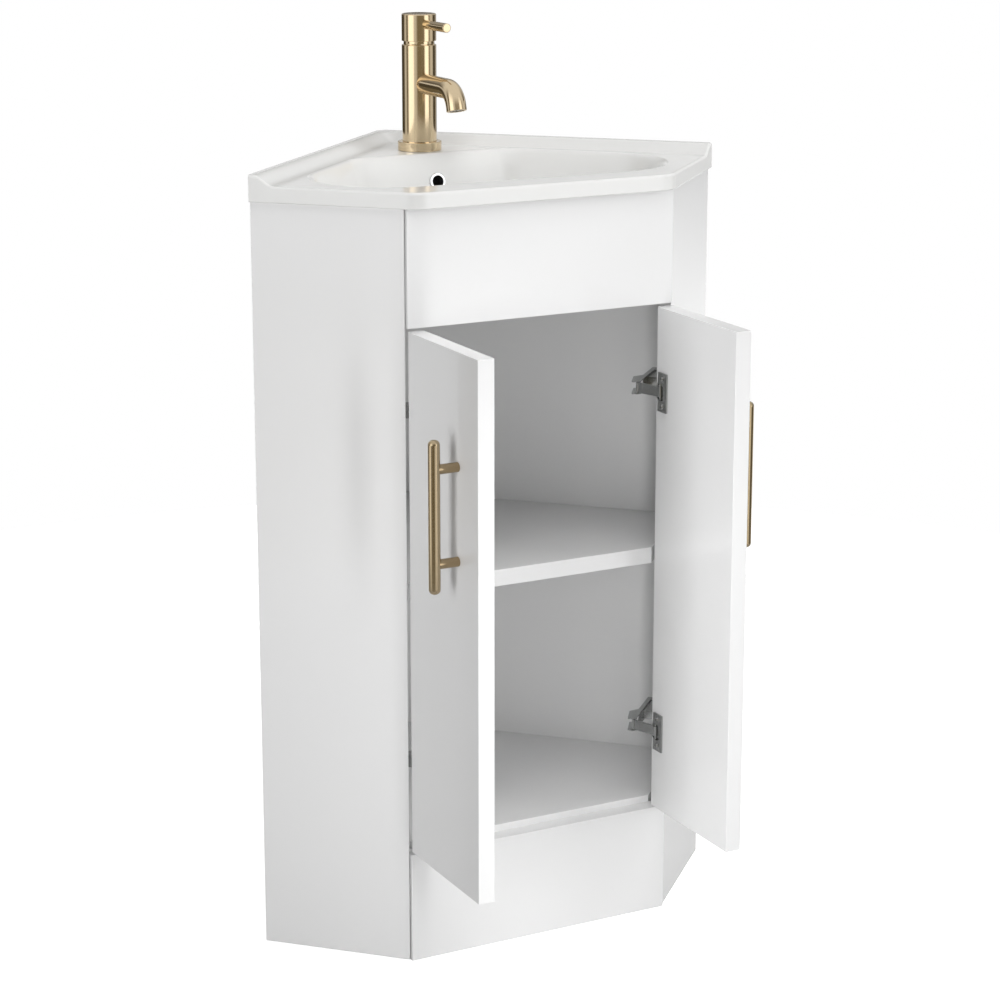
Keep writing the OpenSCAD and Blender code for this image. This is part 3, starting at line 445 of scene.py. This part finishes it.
def spout():
    """The spout: a tube out of the body and round its bend, open at the outlet."""
    run, bend, angle, tip, start = 69.0, 22.0, math.radians(75), 6.0, 13.0
    outer, inner, sides = 11.0, 8.5, 72
    # The lip is rounded outside and has a small chamfer inside, down to the aerator's depth
    soft, chamfer, depth = 0.7, 0.3, 4.9
    bend_steps, lip_steps = 24, 4
    rows = [(start, 0, 0)]
    for i in range(bend_steps + 1):
        t = angle * i / bend_steps
        rows.append((run + bend * math.sin(t), -bend * (1 - math.cos(t)), t))
    end_out, end_up, _ = rows[-1]
    ahead_out, ahead_up = math.cos(angle), -math.sin(angle)
    shell = [(row, outer) for row in rows]
    for k in range(lip_steps + 1):
        a = math.pi / 2 * k / lip_steps
        along = tip - soft + soft * math.sin(a)
        lip = (end_out + along * ahead_out, end_up + along * ahead_up, angle)
        shell.append((lip, outer - soft + soft * math.cos(a)))
    shell.append((lip, inner + chamfer))
    for inwards in (chamfer, depth):
        row = (lip[0] - inwards * ahead_out, lip[1] - inwards * ahead_up, angle)
        shell.append((row, inner))
    shell += [(row, inner) for row in reversed(rows)]
    mesh = bmesh.new()
    rings = []
    for (out, up, t), r in shell:
        ring = []
        for k in range(sides):
            a = 2 * math.pi * k / sides
            ring.append(mesh.verts.new(Vector((
                -r * math.sin(a), TAP_Y - out - r * math.cos(a) * math.sin(t),
                SPOUT_Z + up + r * math.cos(a) * math.cos(t),
            )) * MM))
        rings.append(ring)
    joined(mesh, *rings, rings[0])
    bmesh.ops.recalc_face_normals(mesh, faces=mesh.faces)
    place(mesh, "tap_spout_tube", BRASS, "tap_spout")


def handles():
    """Bars with round ends and their posts, at the places of the CAD's."""
    bar_r, dome = 6, 4.8
    post_r, stud_r, post_edge = 5, 2, 0.5
    for side, out in (("left", -1), ("right", 1)):
        low, high = (Vector(v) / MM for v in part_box(side + "_handle_bar"))
        x, y = (low.x + high.x) / 2, (low.y + high.y) / 2
        bar = [(0, low.z), (bar_r, low.z), (bar_r, high.z), (0, high.z)]
        # The bars and posts get the darkened brass copies of painted shade
        turned(
            side + "_bar_turned", side + "_handle_bar", bar, [0, dome, dome, 0], [(x, y, 0)],
            look=HANDLE_BRASS_PAINTED_SHADE,
        )
        low, high = (Vector(v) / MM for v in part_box(side + "_handle_posts"))
        reach = max(abs(low.x), abs(high.x)) - DOOR_FACE
        stud = DOOR_FACE - min(abs(low.x), abs(high.x))
        post = [(0, -stud), (stud_r, -stud), (stud_r, 0), (post_r, 0), (post_r, reach), (0, reach)]
        feet = [(out * DOOR_FACE, y, z) for z in (low.z + post_r, high.z - post_r)]
        turned(
            side + "_posts_turned", side + "_handle_posts", post, [0, 0, 0, post_edge, 0, 0], feet,
            axis=(out, 0, 0), look=POST_BRASS_PAINTED_SHADE,
        )


# The open right door's hinge link in mm, as in the CAD: its pin and the direction of its tail
LINK_PIN = (DOOR_FACE - BOARD_T, DOOR_PIVOT_Y - 8)
LINK_TURN = math.radians(110)
# The link's plate between its eye and its roller, half of its thickness with a margin, and the
# share of its thickness that it keeps
PLATE_START, PLATE_END, PLATE_HALF = 2.2, 29.5, 1.3
PLATE_KEEPS = 0.84
# The lid in a cup's mouth: its radius, half of the slot for the link, and where the slot ends
LID_R = 9.6
LID_SLOT = 6.4
SLOT_END = 0.3
# The lid's two faces, in mm inwards from the door's outer face
LID_FACES = (17.8, 16.8)


def thin_links(metal, out):
    """Makes the links' plates a little thinner, clear of the doors at full opening."""
    pin = Vector((out * LINK_PIN[0], LINK_PIN[1])) * MM
    ahead = Vector((out * math.cos(LINK_TURN), math.sin(LINK_TURN)))
    for v in metal.data.vertices:
        arm = v.co.xy - pin
        along, across = arm.dot(ahead), arm.dot(ahead.orthogonal())
        if PLATE_START * MM < along < PLATE_END * MM and abs(across) < PLATE_HALF * MM:
            v.co.x, v.co.y = pin + ahead * along + ahead.orthogonal() * across * PLATE_KEEPS


def add_lids(cups, out):
    """Closes the mouth of each cup round its link."""
    outline = [(SLOT_END, LID_SLOT)]
    corner = math.asin(LID_SLOT / LID_R)
    steps = 40
    for k in range(steps + 1):
        a = corner + 2 * (math.pi - corner) * k / steps
        outline.append((LID_R * math.cos(a), LID_R * math.sin(a)))
    outline.append((SLOT_END, -LID_SLOT))
    mesh = bmesh.new()
    mesh.from_mesh(cups.data)
    for z in HINGE_Z:
        rings = []
        for depth in LID_FACES:
            x = out * (DOOR_FACE - depth)
            rings.append([mesh.verts.new(Vector((x, CUP_Y + y, z + h)) * MM) for y, h in outline])
        for ring in rings:
            mesh.faces.new(ring)
        joined(mesh, *rings)
    bmesh.ops.recalc_face_normals(mesh, faces=mesh.faces)
    mesh.to_mesh(cups.data)
    mesh.free()


def hinges():
    """The hinges' sheet metal with rounded edges."""
    for side, out in (("left", -1), ("right", 1)):
        for part in ("arms", "plates", "links"):
            metal = eased(side + "_hinge_" + part, 0.25, longer_than=4)
            if part == "links":
                thin_links(metal, out)
        cups = eased(side + "_hinge_cups", 0.12, longer_than=15)
        add_lids(cups, out)


# ---- Basin -------------------------------------------------------------------------------

# In mm: the slab's underside, where its back edges end in x and y, and where its front lies
BASIN_Z = 804.0
WALL_B = 388.8 / math.sqrt(2)
FRONT = 402.6
CORNER_R = 31.0
EDGE_R = 3.0
# Half the width of the cut at the slab's back corner, and the facet in which the upstand turns it
CLIP = 6.0
FACET = 15.0
# The upstand's height, and the distances from the wall at which it starts and stops to fall
UPSTAND = 11.0
FLAT_TOP, FOOT = 4.5, 27.4
TAP_HOLE_R = 17.5
BOWL_DEPTH = 110.0
BOWL_BACK_Y, BOWL_BACK_R = 180.0, 40.0
BOWL_END_X, BOWL_END_Y, BOWL_END_R = 120.0, 278.0, 80.0
BOWL_BACK = BOWL_BACK_Y - BOWL_BACK_R
BOWL_FLOOR_T, BOWL_WALL_T = 12.0, 9.0
DRAIN = (0.0, -250.0)
DRAIN_Z = RIM_Z - BOWL_DEPTH
DRAIN_R = 23
# The bowl from its rim to its floor: share of the depth, inset of the outline, scale about the drain
BOWL_STEPS = [
    (0, -4, 1), (0.007, -1.8, 1), (0.027, 0.5, 1), (0.08, 3.5, 1), (0.155, 6.5, 1),
    (0.51, 14, 1), (0.72, 21, 1), (0.864, 31, 1), (0.932, 31, 0.82), (0.977, 31, 0.62),
    (1, 31, 0.42),
]
# The overflow hole lies in the step from the one to the other of these rows
ABOVE_OVERFLOW, BELOW_OVERFLOW = BOWL_STEPS[4], BOWL_STEPS[5]
OVERFLOW_DROP, OVERFLOW_R = 30, 8
# Shares of the depth below which the bowl's outside and the duct follow these rows
OUTSIDE_FROM, DUCT_FROM = 0.15, 0.05
# Direction across the duct, in y and z
DUCT_SLOPE = (0.8, -0.6)
# Distances from the wall of the strips that the upstand is made of: two in its flat top, and
# those of its fall
FLAT_TOP_MIDDLE = 2.2
STRIP_COUNT = 12
STRIPS = [0, FLAT_TOP_MIDDLE] + [
    FLAT_TOP + (FOOT - FLAT_TOP) * k / STRIP_COUNT for k in range(STRIP_COUNT + 1)
]
BACK_STEPS = 8


def wall_distance(x, y):
    return min((-y - abs(x)) / math.sqrt(2), -y - FACET)


def upstand_height(x, y):
    t = min(max((wall_distance(x, y) - FLAT_TOP) / (FOOT - FLAT_TOP), 0), 1)
    return UPSTAND * (1 - t * t * (3 - 2 * t))


def rim_loop(inset):
    """The rim in plan, moved in by inset at its sides and front, from the middle of the back."""
    half = []
    w = WALL_B - inset / math.sqrt(2)
    for k in range(BACK_STEPS + 1):
        half.append((CLIP + (w - CLIP) * k / BACK_STEPS,) * 2)
    for u in STRIPS[1:]:
        half.append((w - u / math.sqrt(2), w + u / math.sqrt(2)))
    # Each front corner turns by an eighth of a circle
    eighth = 45
    front_x = 2 * WALL_B - FRONT
    corner = front_x - CORNER_R * math.tan(math.radians(eighth / 2))
    corner_steps = 12
    for k in range(corner_steps + 1):
        a = math.radians(eighth + eighth * k / corner_steps)
        r = CORNER_R - inset
        half.append((corner + r * math.cos(a), FRONT - CORNER_R + r * math.sin(a)))
    right = [(x, -y) for x, y in half]
    return right + [(-x, y) for x, y in reversed(right)]


def bowl_loop(inset, size):
    """The bowl in plan: arcs round four fixed centres, moved in and scaled about the drain."""
    back_x = BOWL_BACK_Y + BOWL_END_X - BOWL_END_Y + (BOWL_END_R - BOWL_BACK_R) * math.sqrt(2)
    arcs = (
        ((BOWL_END_X, -BOWL_END_Y), BOWL_END_R - inset, -90, 45, 30),
        ((back_x, -BOWL_BACK_Y), BOWL_BACK_R - inset, 45, 90, 10),
    )
    right = []
    for (cx, cy), r, start, stop, steps in arcs:
        for k in range(steps + 1):
            a = math.radians(start + (stop - start) * k / steps)
            right.append((cx + r * math.cos(a), cy + r * math.sin(a)))
    cuts = 6
    across = [(right[-1][0] * (1 - 2 * k / cuts), right[-1][1]) for k in range(1, cuts)]
    front = [(-right[0][0] * (1 - 2 * k / cuts), right[0][1]) for k in range(1, cuts)]
    loop = right + across + [(-x, y) for x, y in reversed(right)] + front
    return [(DRAIN[0] + size * (x - DRAIN[0]), DRAIN[1] + size * (y - DRAIN[1])) for x, y in loop]


def eased_steps(rows, between=5):
    """Smooth steps through rows of numbers, without overshoot."""
    rows = np.array(rows, float)
    change = np.diff(rows, axis=0)
    slope = np.zeros_like(rows)
    slope[0], slope[-1] = change[0], change[-1]
    for i in range(1, len(rows) - 1):
        same = change[i - 1] * change[i] > 0
        total = np.where(same, change[i - 1] + change[i], 1)
        slope[i] = np.where(same, 2 * change[i - 1] * change[i] / total, 0)
    out = [rows[0]]
    for i in range(len(rows) - 1):
        for k in range(1, between + 1):
            t = k / between
            out.append(
                (2 * t**3 - 3 * t**2 + 1) * rows[i] + (t**3 - 2 * t**2 + t) * slope[i]
                + (3 * t**2 - 2 * t**3) * rows[i + 1] + (t**3 - t**2) * slope[i + 1]
            )
    return out


def ring_of(mesh, loop, height):
    """Vertices over a plan loop; height is a number or a function of x and y."""
    level = height if callable(height) else lambda x, y: height
    return [mesh.verts.new(Vector((x, y, level(x, y))) * MM) for x, y in loop]


def inside(p, loop):
    """Whether a point lies inside a loop of points."""
    hit = False
    for a, b in zip(loop, loop[1:] + loop[:1]):
        if (a.y > p.y) != (b.y > p.y) and p.x < (b.x - a.x) * (p.y - a.y) / (b.y - a.y) + a.x:
            hit = not hit
    return hit


def filled(mesh, outer, holes, lines=()):
    """Fills the area inside outer and outside holes, each a ring of vertices, along lines."""
    verts = list(outer)
    edges = []

    def close(ring, base):
        edges.extend((base + k, base + (k + 1) % len(ring)) for k in range(len(ring)))

    close(outer, 0)
    for hole in holes:
        close(hole, len(verts))
        verts.extend(hole)
    for line in lines:
        index = []
        for v in line:
            if v not in verts:
                verts.append(v)
            index.append(verts.index(v))
        edges.extend(zip(index, index[1:]))
    points = [v.co.xy / MM for v in verts]
    places, _, faces, sources, _, _ = delaunay_2d_cdt(points, edges, [], 0, 1e-5)
    hole_loops = [[v.co.xy / MM for v in hole] for hole in holes]
    border = [v.co.xy / MM for v in outer]
    for face in faces:
        centre = sum((places[i] for i in face), Vector((0, 0))) / len(face)
        if inside(centre, border) and not any(inside(centre, loop) for loop in hole_loops):
            mesh.faces.new([verts[sources[i][0]] for i in face])


def basin_body():
    """The basin without its overflow duct."""
    mesh = bmesh.new()

    def top(drop):
        return lambda x, y: RIM_Z + upstand_height(x, y) - drop

    # The edge: up the side, round the upper edge and onto the rim
    rings = [ring_of(mesh, rim_loop(1), BASIN_Z), ring_of(mesh, rim_loop(0), BASIN_Z + 1)]
    edge_steps = 5
    for k in range(edge_steps + 1):
        a = math.pi / 2 * k / edge_steps
        loop = rim_loop(EDGE_R * (1 - math.cos(a)))
        rings.append(ring_of(mesh, loop, top(EDGE_R * (1 - math.sin(a)))))
    joined(mesh, *rings)
    # The upstand's strips, from one side to the other along both walls and the corner's facet
    crest = rings[-1]
    lines = []
    for n, u in enumerate(STRIPS[1:], BACK_STEPS + 1):
        turn = FACET - u * (math.sqrt(2) - 1)
        corners = ring_of(mesh, [(turn, -FACET - u), (-turn, -FACET - u)], top(0))
        lines.append([crest[n], *corners, crest[-1 - n]])
    bowl = eased_steps(BOWL_STEPS)
    inner = [
        ring_of(mesh, bowl_loop(inset, size), RIM_Z - share * BOWL_DEPTH)
        for share, inset, size in bowl
    ]
    tap_hole = [ring_of(mesh, circle((0, TAP_Y), TAP_HOLE_R), z) for z in (RIM_Z, BASIN_Z)]
    filled(mesh, crest, [inner[0], tap_hole[0]], lines)
    joined(mesh, *inner)
    # Drain, and the outside of the bowl
    drain = [ring_of(mesh, circle(DRAIN, DRAIN_R), z) for z in (DRAIN_Z, DRAIN_Z - BOWL_FLOOR_T)]
    filled(mesh, inner[-1], [drain[0]])
    joined(mesh, *drain)
    joined(mesh, *tap_hole)
    below = [row for row in bowl if row[0] > OUTSIDE_FROM]
    levels = [BASIN_Z] + [
        RIM_Z - share * BOWL_DEPTH - BOWL_FLOOR_T * share ** 2 for share, _, _ in below[1:]
    ]
    outer = [
        ring_of(mesh, bowl_loop(inset - BOWL_WALL_T, size), z)
        for (_, inset, size), z in zip(below, levels)
    ]
    joined(mesh, *outer)
    filled(mesh, rings[0], [outer[0], tap_hole[1]])
    filled(mesh, outer[-1], [drain[1]])
    bmesh.ops.recalc_face_normals(mesh, faces=mesh.faces)
    return mesh


def hidden_tool(mesh, name):
    """An object for the basin's cuts, which is removed after them."""
    data = bpy.data.meshes.new(name)
    bmesh.ops.recalc_face_normals(mesh, faces=mesh.faces)
    mesh.to_mesh(data)
    mesh.free()
    obj = bpy.data.objects.new(name, data)
    bpy.context.scene.collection.objects.link(obj)
    return obj


def prism(name, *ends):
    """A hidden tool between two outlines of as many points, in mm."""
    mesh = bmesh.new()
    rings = [[mesh.verts.new(point * MM) for point in end] for end in ends]
    for ring in rings:
        mesh.faces.new(ring)
    joined(mesh, *rings)
    return hidden_tool(mesh, name)


def duct(near, far, width, top=None):
    """A length of the overflow duct: the bowl's back wall moved by near and far, and up to top."""
    edge = [(DRAIN[1], DRAIN_Z)]
    for share, inset, size in reversed(BOWL_STEPS):
        if share > DUCT_FROM:
            y = DRAIN[1] + size * (-DRAIN[1] - BOWL_BACK - inset)
            edge.append((y, RIM_Z - share * BOWL_DEPTH))
    front, back = (
        [(y + by * DUCT_SLOPE[0], z + by * DUCT_SLOPE[1]) for y, z in edge] for by in (near, far)
    )
    if top is not None:
        back.append((back[-1][0], top))
    outline = front + back[::-1]
    return prism("duct", *([Vector((x, y, z)) for y, z in outline] for x in (-width / 2, width / 2)))


def overflow_drill():
    """A drill for the overflow hole, square to the bowl's back wall."""
    (share, inset, _), (low_share, low_inset, _) = ABOVE_OVERFLOW, BELOW_OVERFLOW
    t = (OVERFLOW_DROP / BOWL_DEPTH - share) / (low_share - share)
    y = BOWL_BACK + inset + (low_inset - inset) * t
    tilt = math.atan2(low_inset - inset, (low_share - share) * BOWL_DEPTH)
    into = Vector((0, math.cos(tilt), -math.sin(tilt)))
    turn = Vector((0, 0, 1)).rotation_difference(into).to_matrix()
    centre = Vector((0, -y, RIM_Z - OVERFLOW_DROP))
    ring = circle((0, 0), OVERFLOW_R)
    # From in front of the wall into the duct
    start, stop = -6, 12.5
    return prism("overflow_drill", *(
        [turn @ Vector((x, z, depth)) + centre for x, z in ring] for depth in (start, stop)
    ))


def drain_drill():
    """A drill that opens the drain again where the duct's outside meets it."""
    ring = circle(DRAIN, DRAIN_R)
    below, above = 45, 4
    return prism("drain_drill", *(
        [Vector((x, y, z)) for x, y in ring] for z in (DRAIN_Z - below, DRAIN_Z + above)
    ))


def basin():
    """The glazed basin, with near-black painted shade inside its overflow duct and hole."""
    body = hidden_tool(basin_body(), "basin_body")
    body.data.materials.append(GLAZE)
    cuts = (
        ("UNION", duct(near=4, far=19, width=30, top=BASIN_Z + 1)),
        ("DIFFERENCE", duct(near=7.5, far=15, width=22)),
        ("DIFFERENCE", overflow_drill()),
        ("DIFFERENCE", drain_drill()),
    )
    for kind, tool in cuts:
        step = body.modifiers.new("cut", "BOOLEAN")
        step.operation, step.solver, step.object = kind, "EXACT", tool
        step.material_mode = "TRANSFER"
        # The cut faces of the duct and the drills get the near-black painted shade
        tool.data.materials.append(GLAZE if kind == "UNION" else DUCT_PAINTED_SHADE)
    shaped = body.evaluated_get(bpy.context.evaluated_depsgraph_get())
    mesh = bmesh.new()
    mesh.from_mesh(shaped.to_mesh())
    for obj in (body, *(tool for _, tool in cuts)):
        bpy.data.objects.remove(obj)
    bmesh.ops.remove_doubles(mesh, verts=mesh.verts, dist=1e-7)
    for face in mesh.faces:
        # The bore of the drain is glazed like the bowl
        x, y, _ = face.calc_center_median() / MM
        if math.dist((x, y), DRAIN) < DRAIN_R + 1:
            face.material_index = 0
    piece = place(mesh, "basin_glazed", GLAZE, "basin", shade_angle=42.0)
    piece.data.materials.append(DUCT_PAINTED_SHADE)


def other_pieces():
    """The other nodes keep their CAD shape, with smooth shading."""
    for node in frame["nodes"]:
        if node not in shown_by_copy:
            place(welded(node), node + "_smooth", look_of(node), node)


boards()
tap_pieces()
spout()
handles()
hinges()
basin()
other_pieces()

# ---- Floor, lights and camera ------------------------------------------------------------

# In metres: the floor lies half a millimetre under the cabinet, clear of it
FLOOR_PLACE = (0, -0.25, -0.0005)
FLOOR_R = 1.7
FLOOR_GLOW = 0.85
AMBIENT = 0.06
# What glossy rays see round the object: angle to the right from STUDIO_FRONT, and brightness
STUDIO = [
    (-150, 0.08), (-118, 0.08), (-107, 0.72), (-96, 0.72), (-88, 0.15), (-80, 0.15),
    (-70, 1.8), (-38, 1.8), (-31, 0.78), (-18, 0.70), (-8, 0.25), (36, 0.25), (43, 1.8),
    (64, 1.8), (71, 0.3), (76, 0.3), (83, 0.75), (100, 0.75), (110, 0.08), (132, 0.08),
    (138, 0.45), (162, 0.45), (170, 0.08),
]
# The same in a narrow band that the rim of the basin mirrors
RIM_STUDIO = [(-150, 0.8), (-118, 0.8), *STUDIO[2:-5], (110, 0.8), (150, 0.8)]
# The same, lower down
LOW_STUDIO = [
    (-150, 0.12), (-100, 0.25), (-88, 1.3), (-62, 1.4), (-50, 0.3), (-8, 0.22), (12, 0.3),
    (22, 1.0), (45, 1.3), (60, 1.2), (68, 0.25), (90, 0.15), (122, 0.15), (130, 1.1),
    (165, 1.1), (173, 0.12),
]
# The same above the soft boxes
STUDIO_TOP = (0.9, 0.9, 0.9, 1)
# Heights at which one band goes over into the next: 0 is level and 1 is straight up
LOW_TO_MIDDLE = (-0.19, -0.14)
MIDDLE_TO_RIM = (0.095, 0.125)
RIM_TO_MIDDLE = (0.2, 0.24)
MIDDLE_TO_TOP = (0.25, 0.75)
# The side from which the studio's angles count, in degrees to the left of the front
STUDIO_FRONT = 27.4
# Darker than WARM_FROM the studio turns warm, fully so when WARM_RANGE darker: then it has this
# share less of green and of blue
WARM_FROM, WARM_RANGE = 0.4, 0.15
LESS_GREEN, LESS_BLUE = 0.14, 0.42


def stage_floor():
    """A pale floor: the camera sees it white apart from the object's shadow."""
    shader = Shader("floor", Roughness=0.6, Base_Color=(0.55, 0.55, 0.55))
    glow = shader.node("Emission", Strength=FLOOR_GLOW)
    seen = shader.node("LightPath")
    lit = shader.node("MixShader")
    both = shader.node("AddShader")
    shader.link(shader.bsdf.outputs[0], both.inputs[0])
    shader.link(glow.outputs[0], both.inputs[1])
    shader.link(seen.outputs["Is Camera Ray"], lit.inputs[0])
    shader.link(shader.bsdf.outputs[0], lit.inputs[1])
    shader.link(both.outputs[0], lit.inputs[2])
    shader.link(lit.outputs[0], shader.out.inputs[0])
    mesh = bmesh.new()
    bmesh.ops.create_circle(mesh, cap_ends=True, segments=96, radius=FLOOR_R)
    data = bpy.data.meshes.new("floor")
    mesh.to_mesh(data)
    mesh.free()
    obj = bpy.data.objects.new("floor", data)
    obj.location = FLOOR_PLACE
    bpy.context.scene.collection.objects.link(obj)
    data.materials.append(shader.material)


def softbox(name, where, target, size, watts, spread=180.0):
    """A lamp from a place towards a target and of a size in metres; its spread is in degrees."""
    lamp = bpy.data.lights.new(name, "AREA")
    lamp.shape = "RECTANGLE"
    lamp.size, lamp.size_y = size
    lamp.energy = watts
    lamp.spread = math.radians(spread)
    obj = bpy.data.objects.new(name, lamp)
    obj.location = where
    obj.rotation_mode = "QUATERNION"
    obj.rotation_quaternion = (Vector(target) - Vector(where)).to_track_quat("-Z", "Y")
    # Glossy rays see the studio drawn in the world instead of the lamps
    obj.visible_camera = obj.visible_glossy = False
    bpy.context.scene.collection.objects.link(obj)


def world_light():
    """White to the camera; an even ambient light; a studio with soft boxes to glossy rays."""
    world = bpy.data.worlds.new("studio")
    bpy.context.scene.world = world
    world.use_nodes = True
    tree = world.node_tree
    tree.nodes.clear()

    def node(kind, **values):
        made = tree.nodes.new("ShaderNode" + kind)
        for key, value in values.items():
            setattr(made, key, value)
        return made

    def background(strength):
        made = node("Background")
        made.inputs["Color"].default_value = (1, 1, 1, 1)
        made.inputs["Strength"].default_value = strength
        return made

    def part_of_range(value, low, high):
        made = node("MapRange")
        made.inputs["From Min"].default_value = low
        made.inputs["From Max"].default_value = high
        tree.links.new(value, made.inputs["Value"])
        return made.outputs[0]

    # The ray's direction, and its angle round the object as a share of a full turn
    direction = node("SeparateXYZ")
    tree.links.new(node("TexCoord").outputs["Generated"], direction.inputs[0])
    turn = node("Math", operation="ARCTAN2")
    flip = node("Math", operation="MULTIPLY")
    flip.inputs[1].default_value = -1
    tree.links.new(direction.outputs["Y"], flip.inputs[0])
    tree.links.new(direction.outputs["X"], turn.inputs[0])
    tree.links.new(flip.outputs[0], turn.inputs[1])
    share = part_of_range(turn.outputs[0], -math.pi, math.pi)

    def ring_of_boxes(stops):
        """The colours of one band of the studio."""
        ramp = node("ValToRGB")
        shares = sorted((((a + 360 - STUDIO_FRONT + 180) % 360) / 360, v) for a, v in stops)
        for k, (at, value) in enumerate(shares):
            if k < 2:
                element = ramp.color_ramp.elements[k]
            else:
                element = ramp.color_ramp.elements.new(at)
            element.position = at
            warm = min(max((WARM_FROM - value) / WARM_RANGE, 0), 1)
            green, blue = value * (1 - LESS_GREEN * warm), value * (1 - LESS_BLUE * warm)
            element.color = (value, green, blue, 1)
        tree.links.new(share, ramp.inputs[0])
        return ramp.outputs[0]

    def blend(heights, below, above):
        """Goes from one colour to the other between two heights of the ray's direction."""
        mixed = node("Mix", data_type="RGBA")
        rise = part_of_range(direction.outputs["Z"], *heights)
        tree.links.new(rise, mixed.inputs[MIX_FACTOR])
        for socket, colour in ((MIX_FIRST, below), (MIX_SECOND, above)):
            if isinstance(colour, tuple):
                mixed.inputs[socket].default_value = colour
            else:
                tree.links.new(colour, mixed.inputs[socket])
        return mixed.outputs[MIX_RESULT]

    path = node("LightPath")

    def shown_to(rays, shader, others):
        """One shader for the rays of a kind and another for the others."""
        made = node("MixShader")
        tree.links.new(path.outputs[rays], made.inputs[0])
        tree.links.new(others.outputs[0], made.inputs[1])
        tree.links.new(shader.outputs[0], made.inputs[2])
        return made

    middle = ring_of_boxes(STUDIO)
    level = blend(LOW_TO_MIDDLE, ring_of_boxes(LOW_STUDIO), middle)
    level = blend(MIDDLE_TO_RIM, level, ring_of_boxes(RIM_STUDIO))
    level = blend(RIM_TO_MIDDLE, level, middle)
    level = blend(MIDDLE_TO_TOP, level, STUDIO_TOP)
    mirrored = background(1.0)
    tree.links.new(level, mirrored.inputs["Color"])
    reflected = shown_to("Is Glossy Ray", mirrored, background(AMBIENT))
    white = shown_to("Is Camera Ray", background(1.0), reflected)
    tree.links.new(white.outputs[0], node("OutputWorld").inputs[0])


def add_camera():
    """The camera, fitted to the photo's corner points."""
    lens = bpy.data.cameras.new("camera")
    lens.lens = 95.06
    lens.sensor_width = 36.0
    lens.shift_y = -0.08
    camera = bpy.data.objects.new("camera", lens)
    camera.location = (-1.275813, -2.734001, 1.202771)
    azimuth, elevation = math.radians(-27.633), math.radians(13.293)
    backwards = Vector((
        math.sin(azimuth) * math.cos(elevation), -math.cos(azimuth) * math.cos(elevation),
        math.sin(elevation),
    ))
    camera.rotation_mode = "QUATERNION"
    camera.rotation_quaternion = (-backwards).to_track_quat("-Z", "Y")
    bpy.context.scene.collection.objects.link(camera)
    bpy.context.scene.camera = camera


stage_floor()
world_light()
softbox("between_doors", (-0.145, -0.92, 0.35), (0.12, -0.35, 0.35), (0.05, 0.68), 0.87, 140)
softbox("front_low", (0, -2.8, 0.3), (0, -0.3, 0.2), (1.2, 0.4), 3)
softbox("right_side", (3.0, -1.3, 1.0), (0, -0.3, 0.5), (0.8, 1.6), 48)
softbox("right", (1.8, -2.6, 2.2), (0, -0.3, 0.5), (1.4, 1.4), 21)
softbox("left_strip", (-3.0, -1.7, 0.7), (0, -0.35, 0.6), (1.0, 2.4), 46)
softbox("top", (0, -0.6, 2.6), (0, -0.25, 0.8), (1.4, 1.4), 17)
softbox("behind", (0.2, 2.2, 1.5), (0, -0.1, 0.5), (1.6, 1.6), 30)
softbox("top_front", (-0.4, -2.0, 3.2), (0, -0.25, 0.6), (1.6, 1.2), 19)
add_camera()
bpy.context.scene.view_settings.view_transform = "Standard"
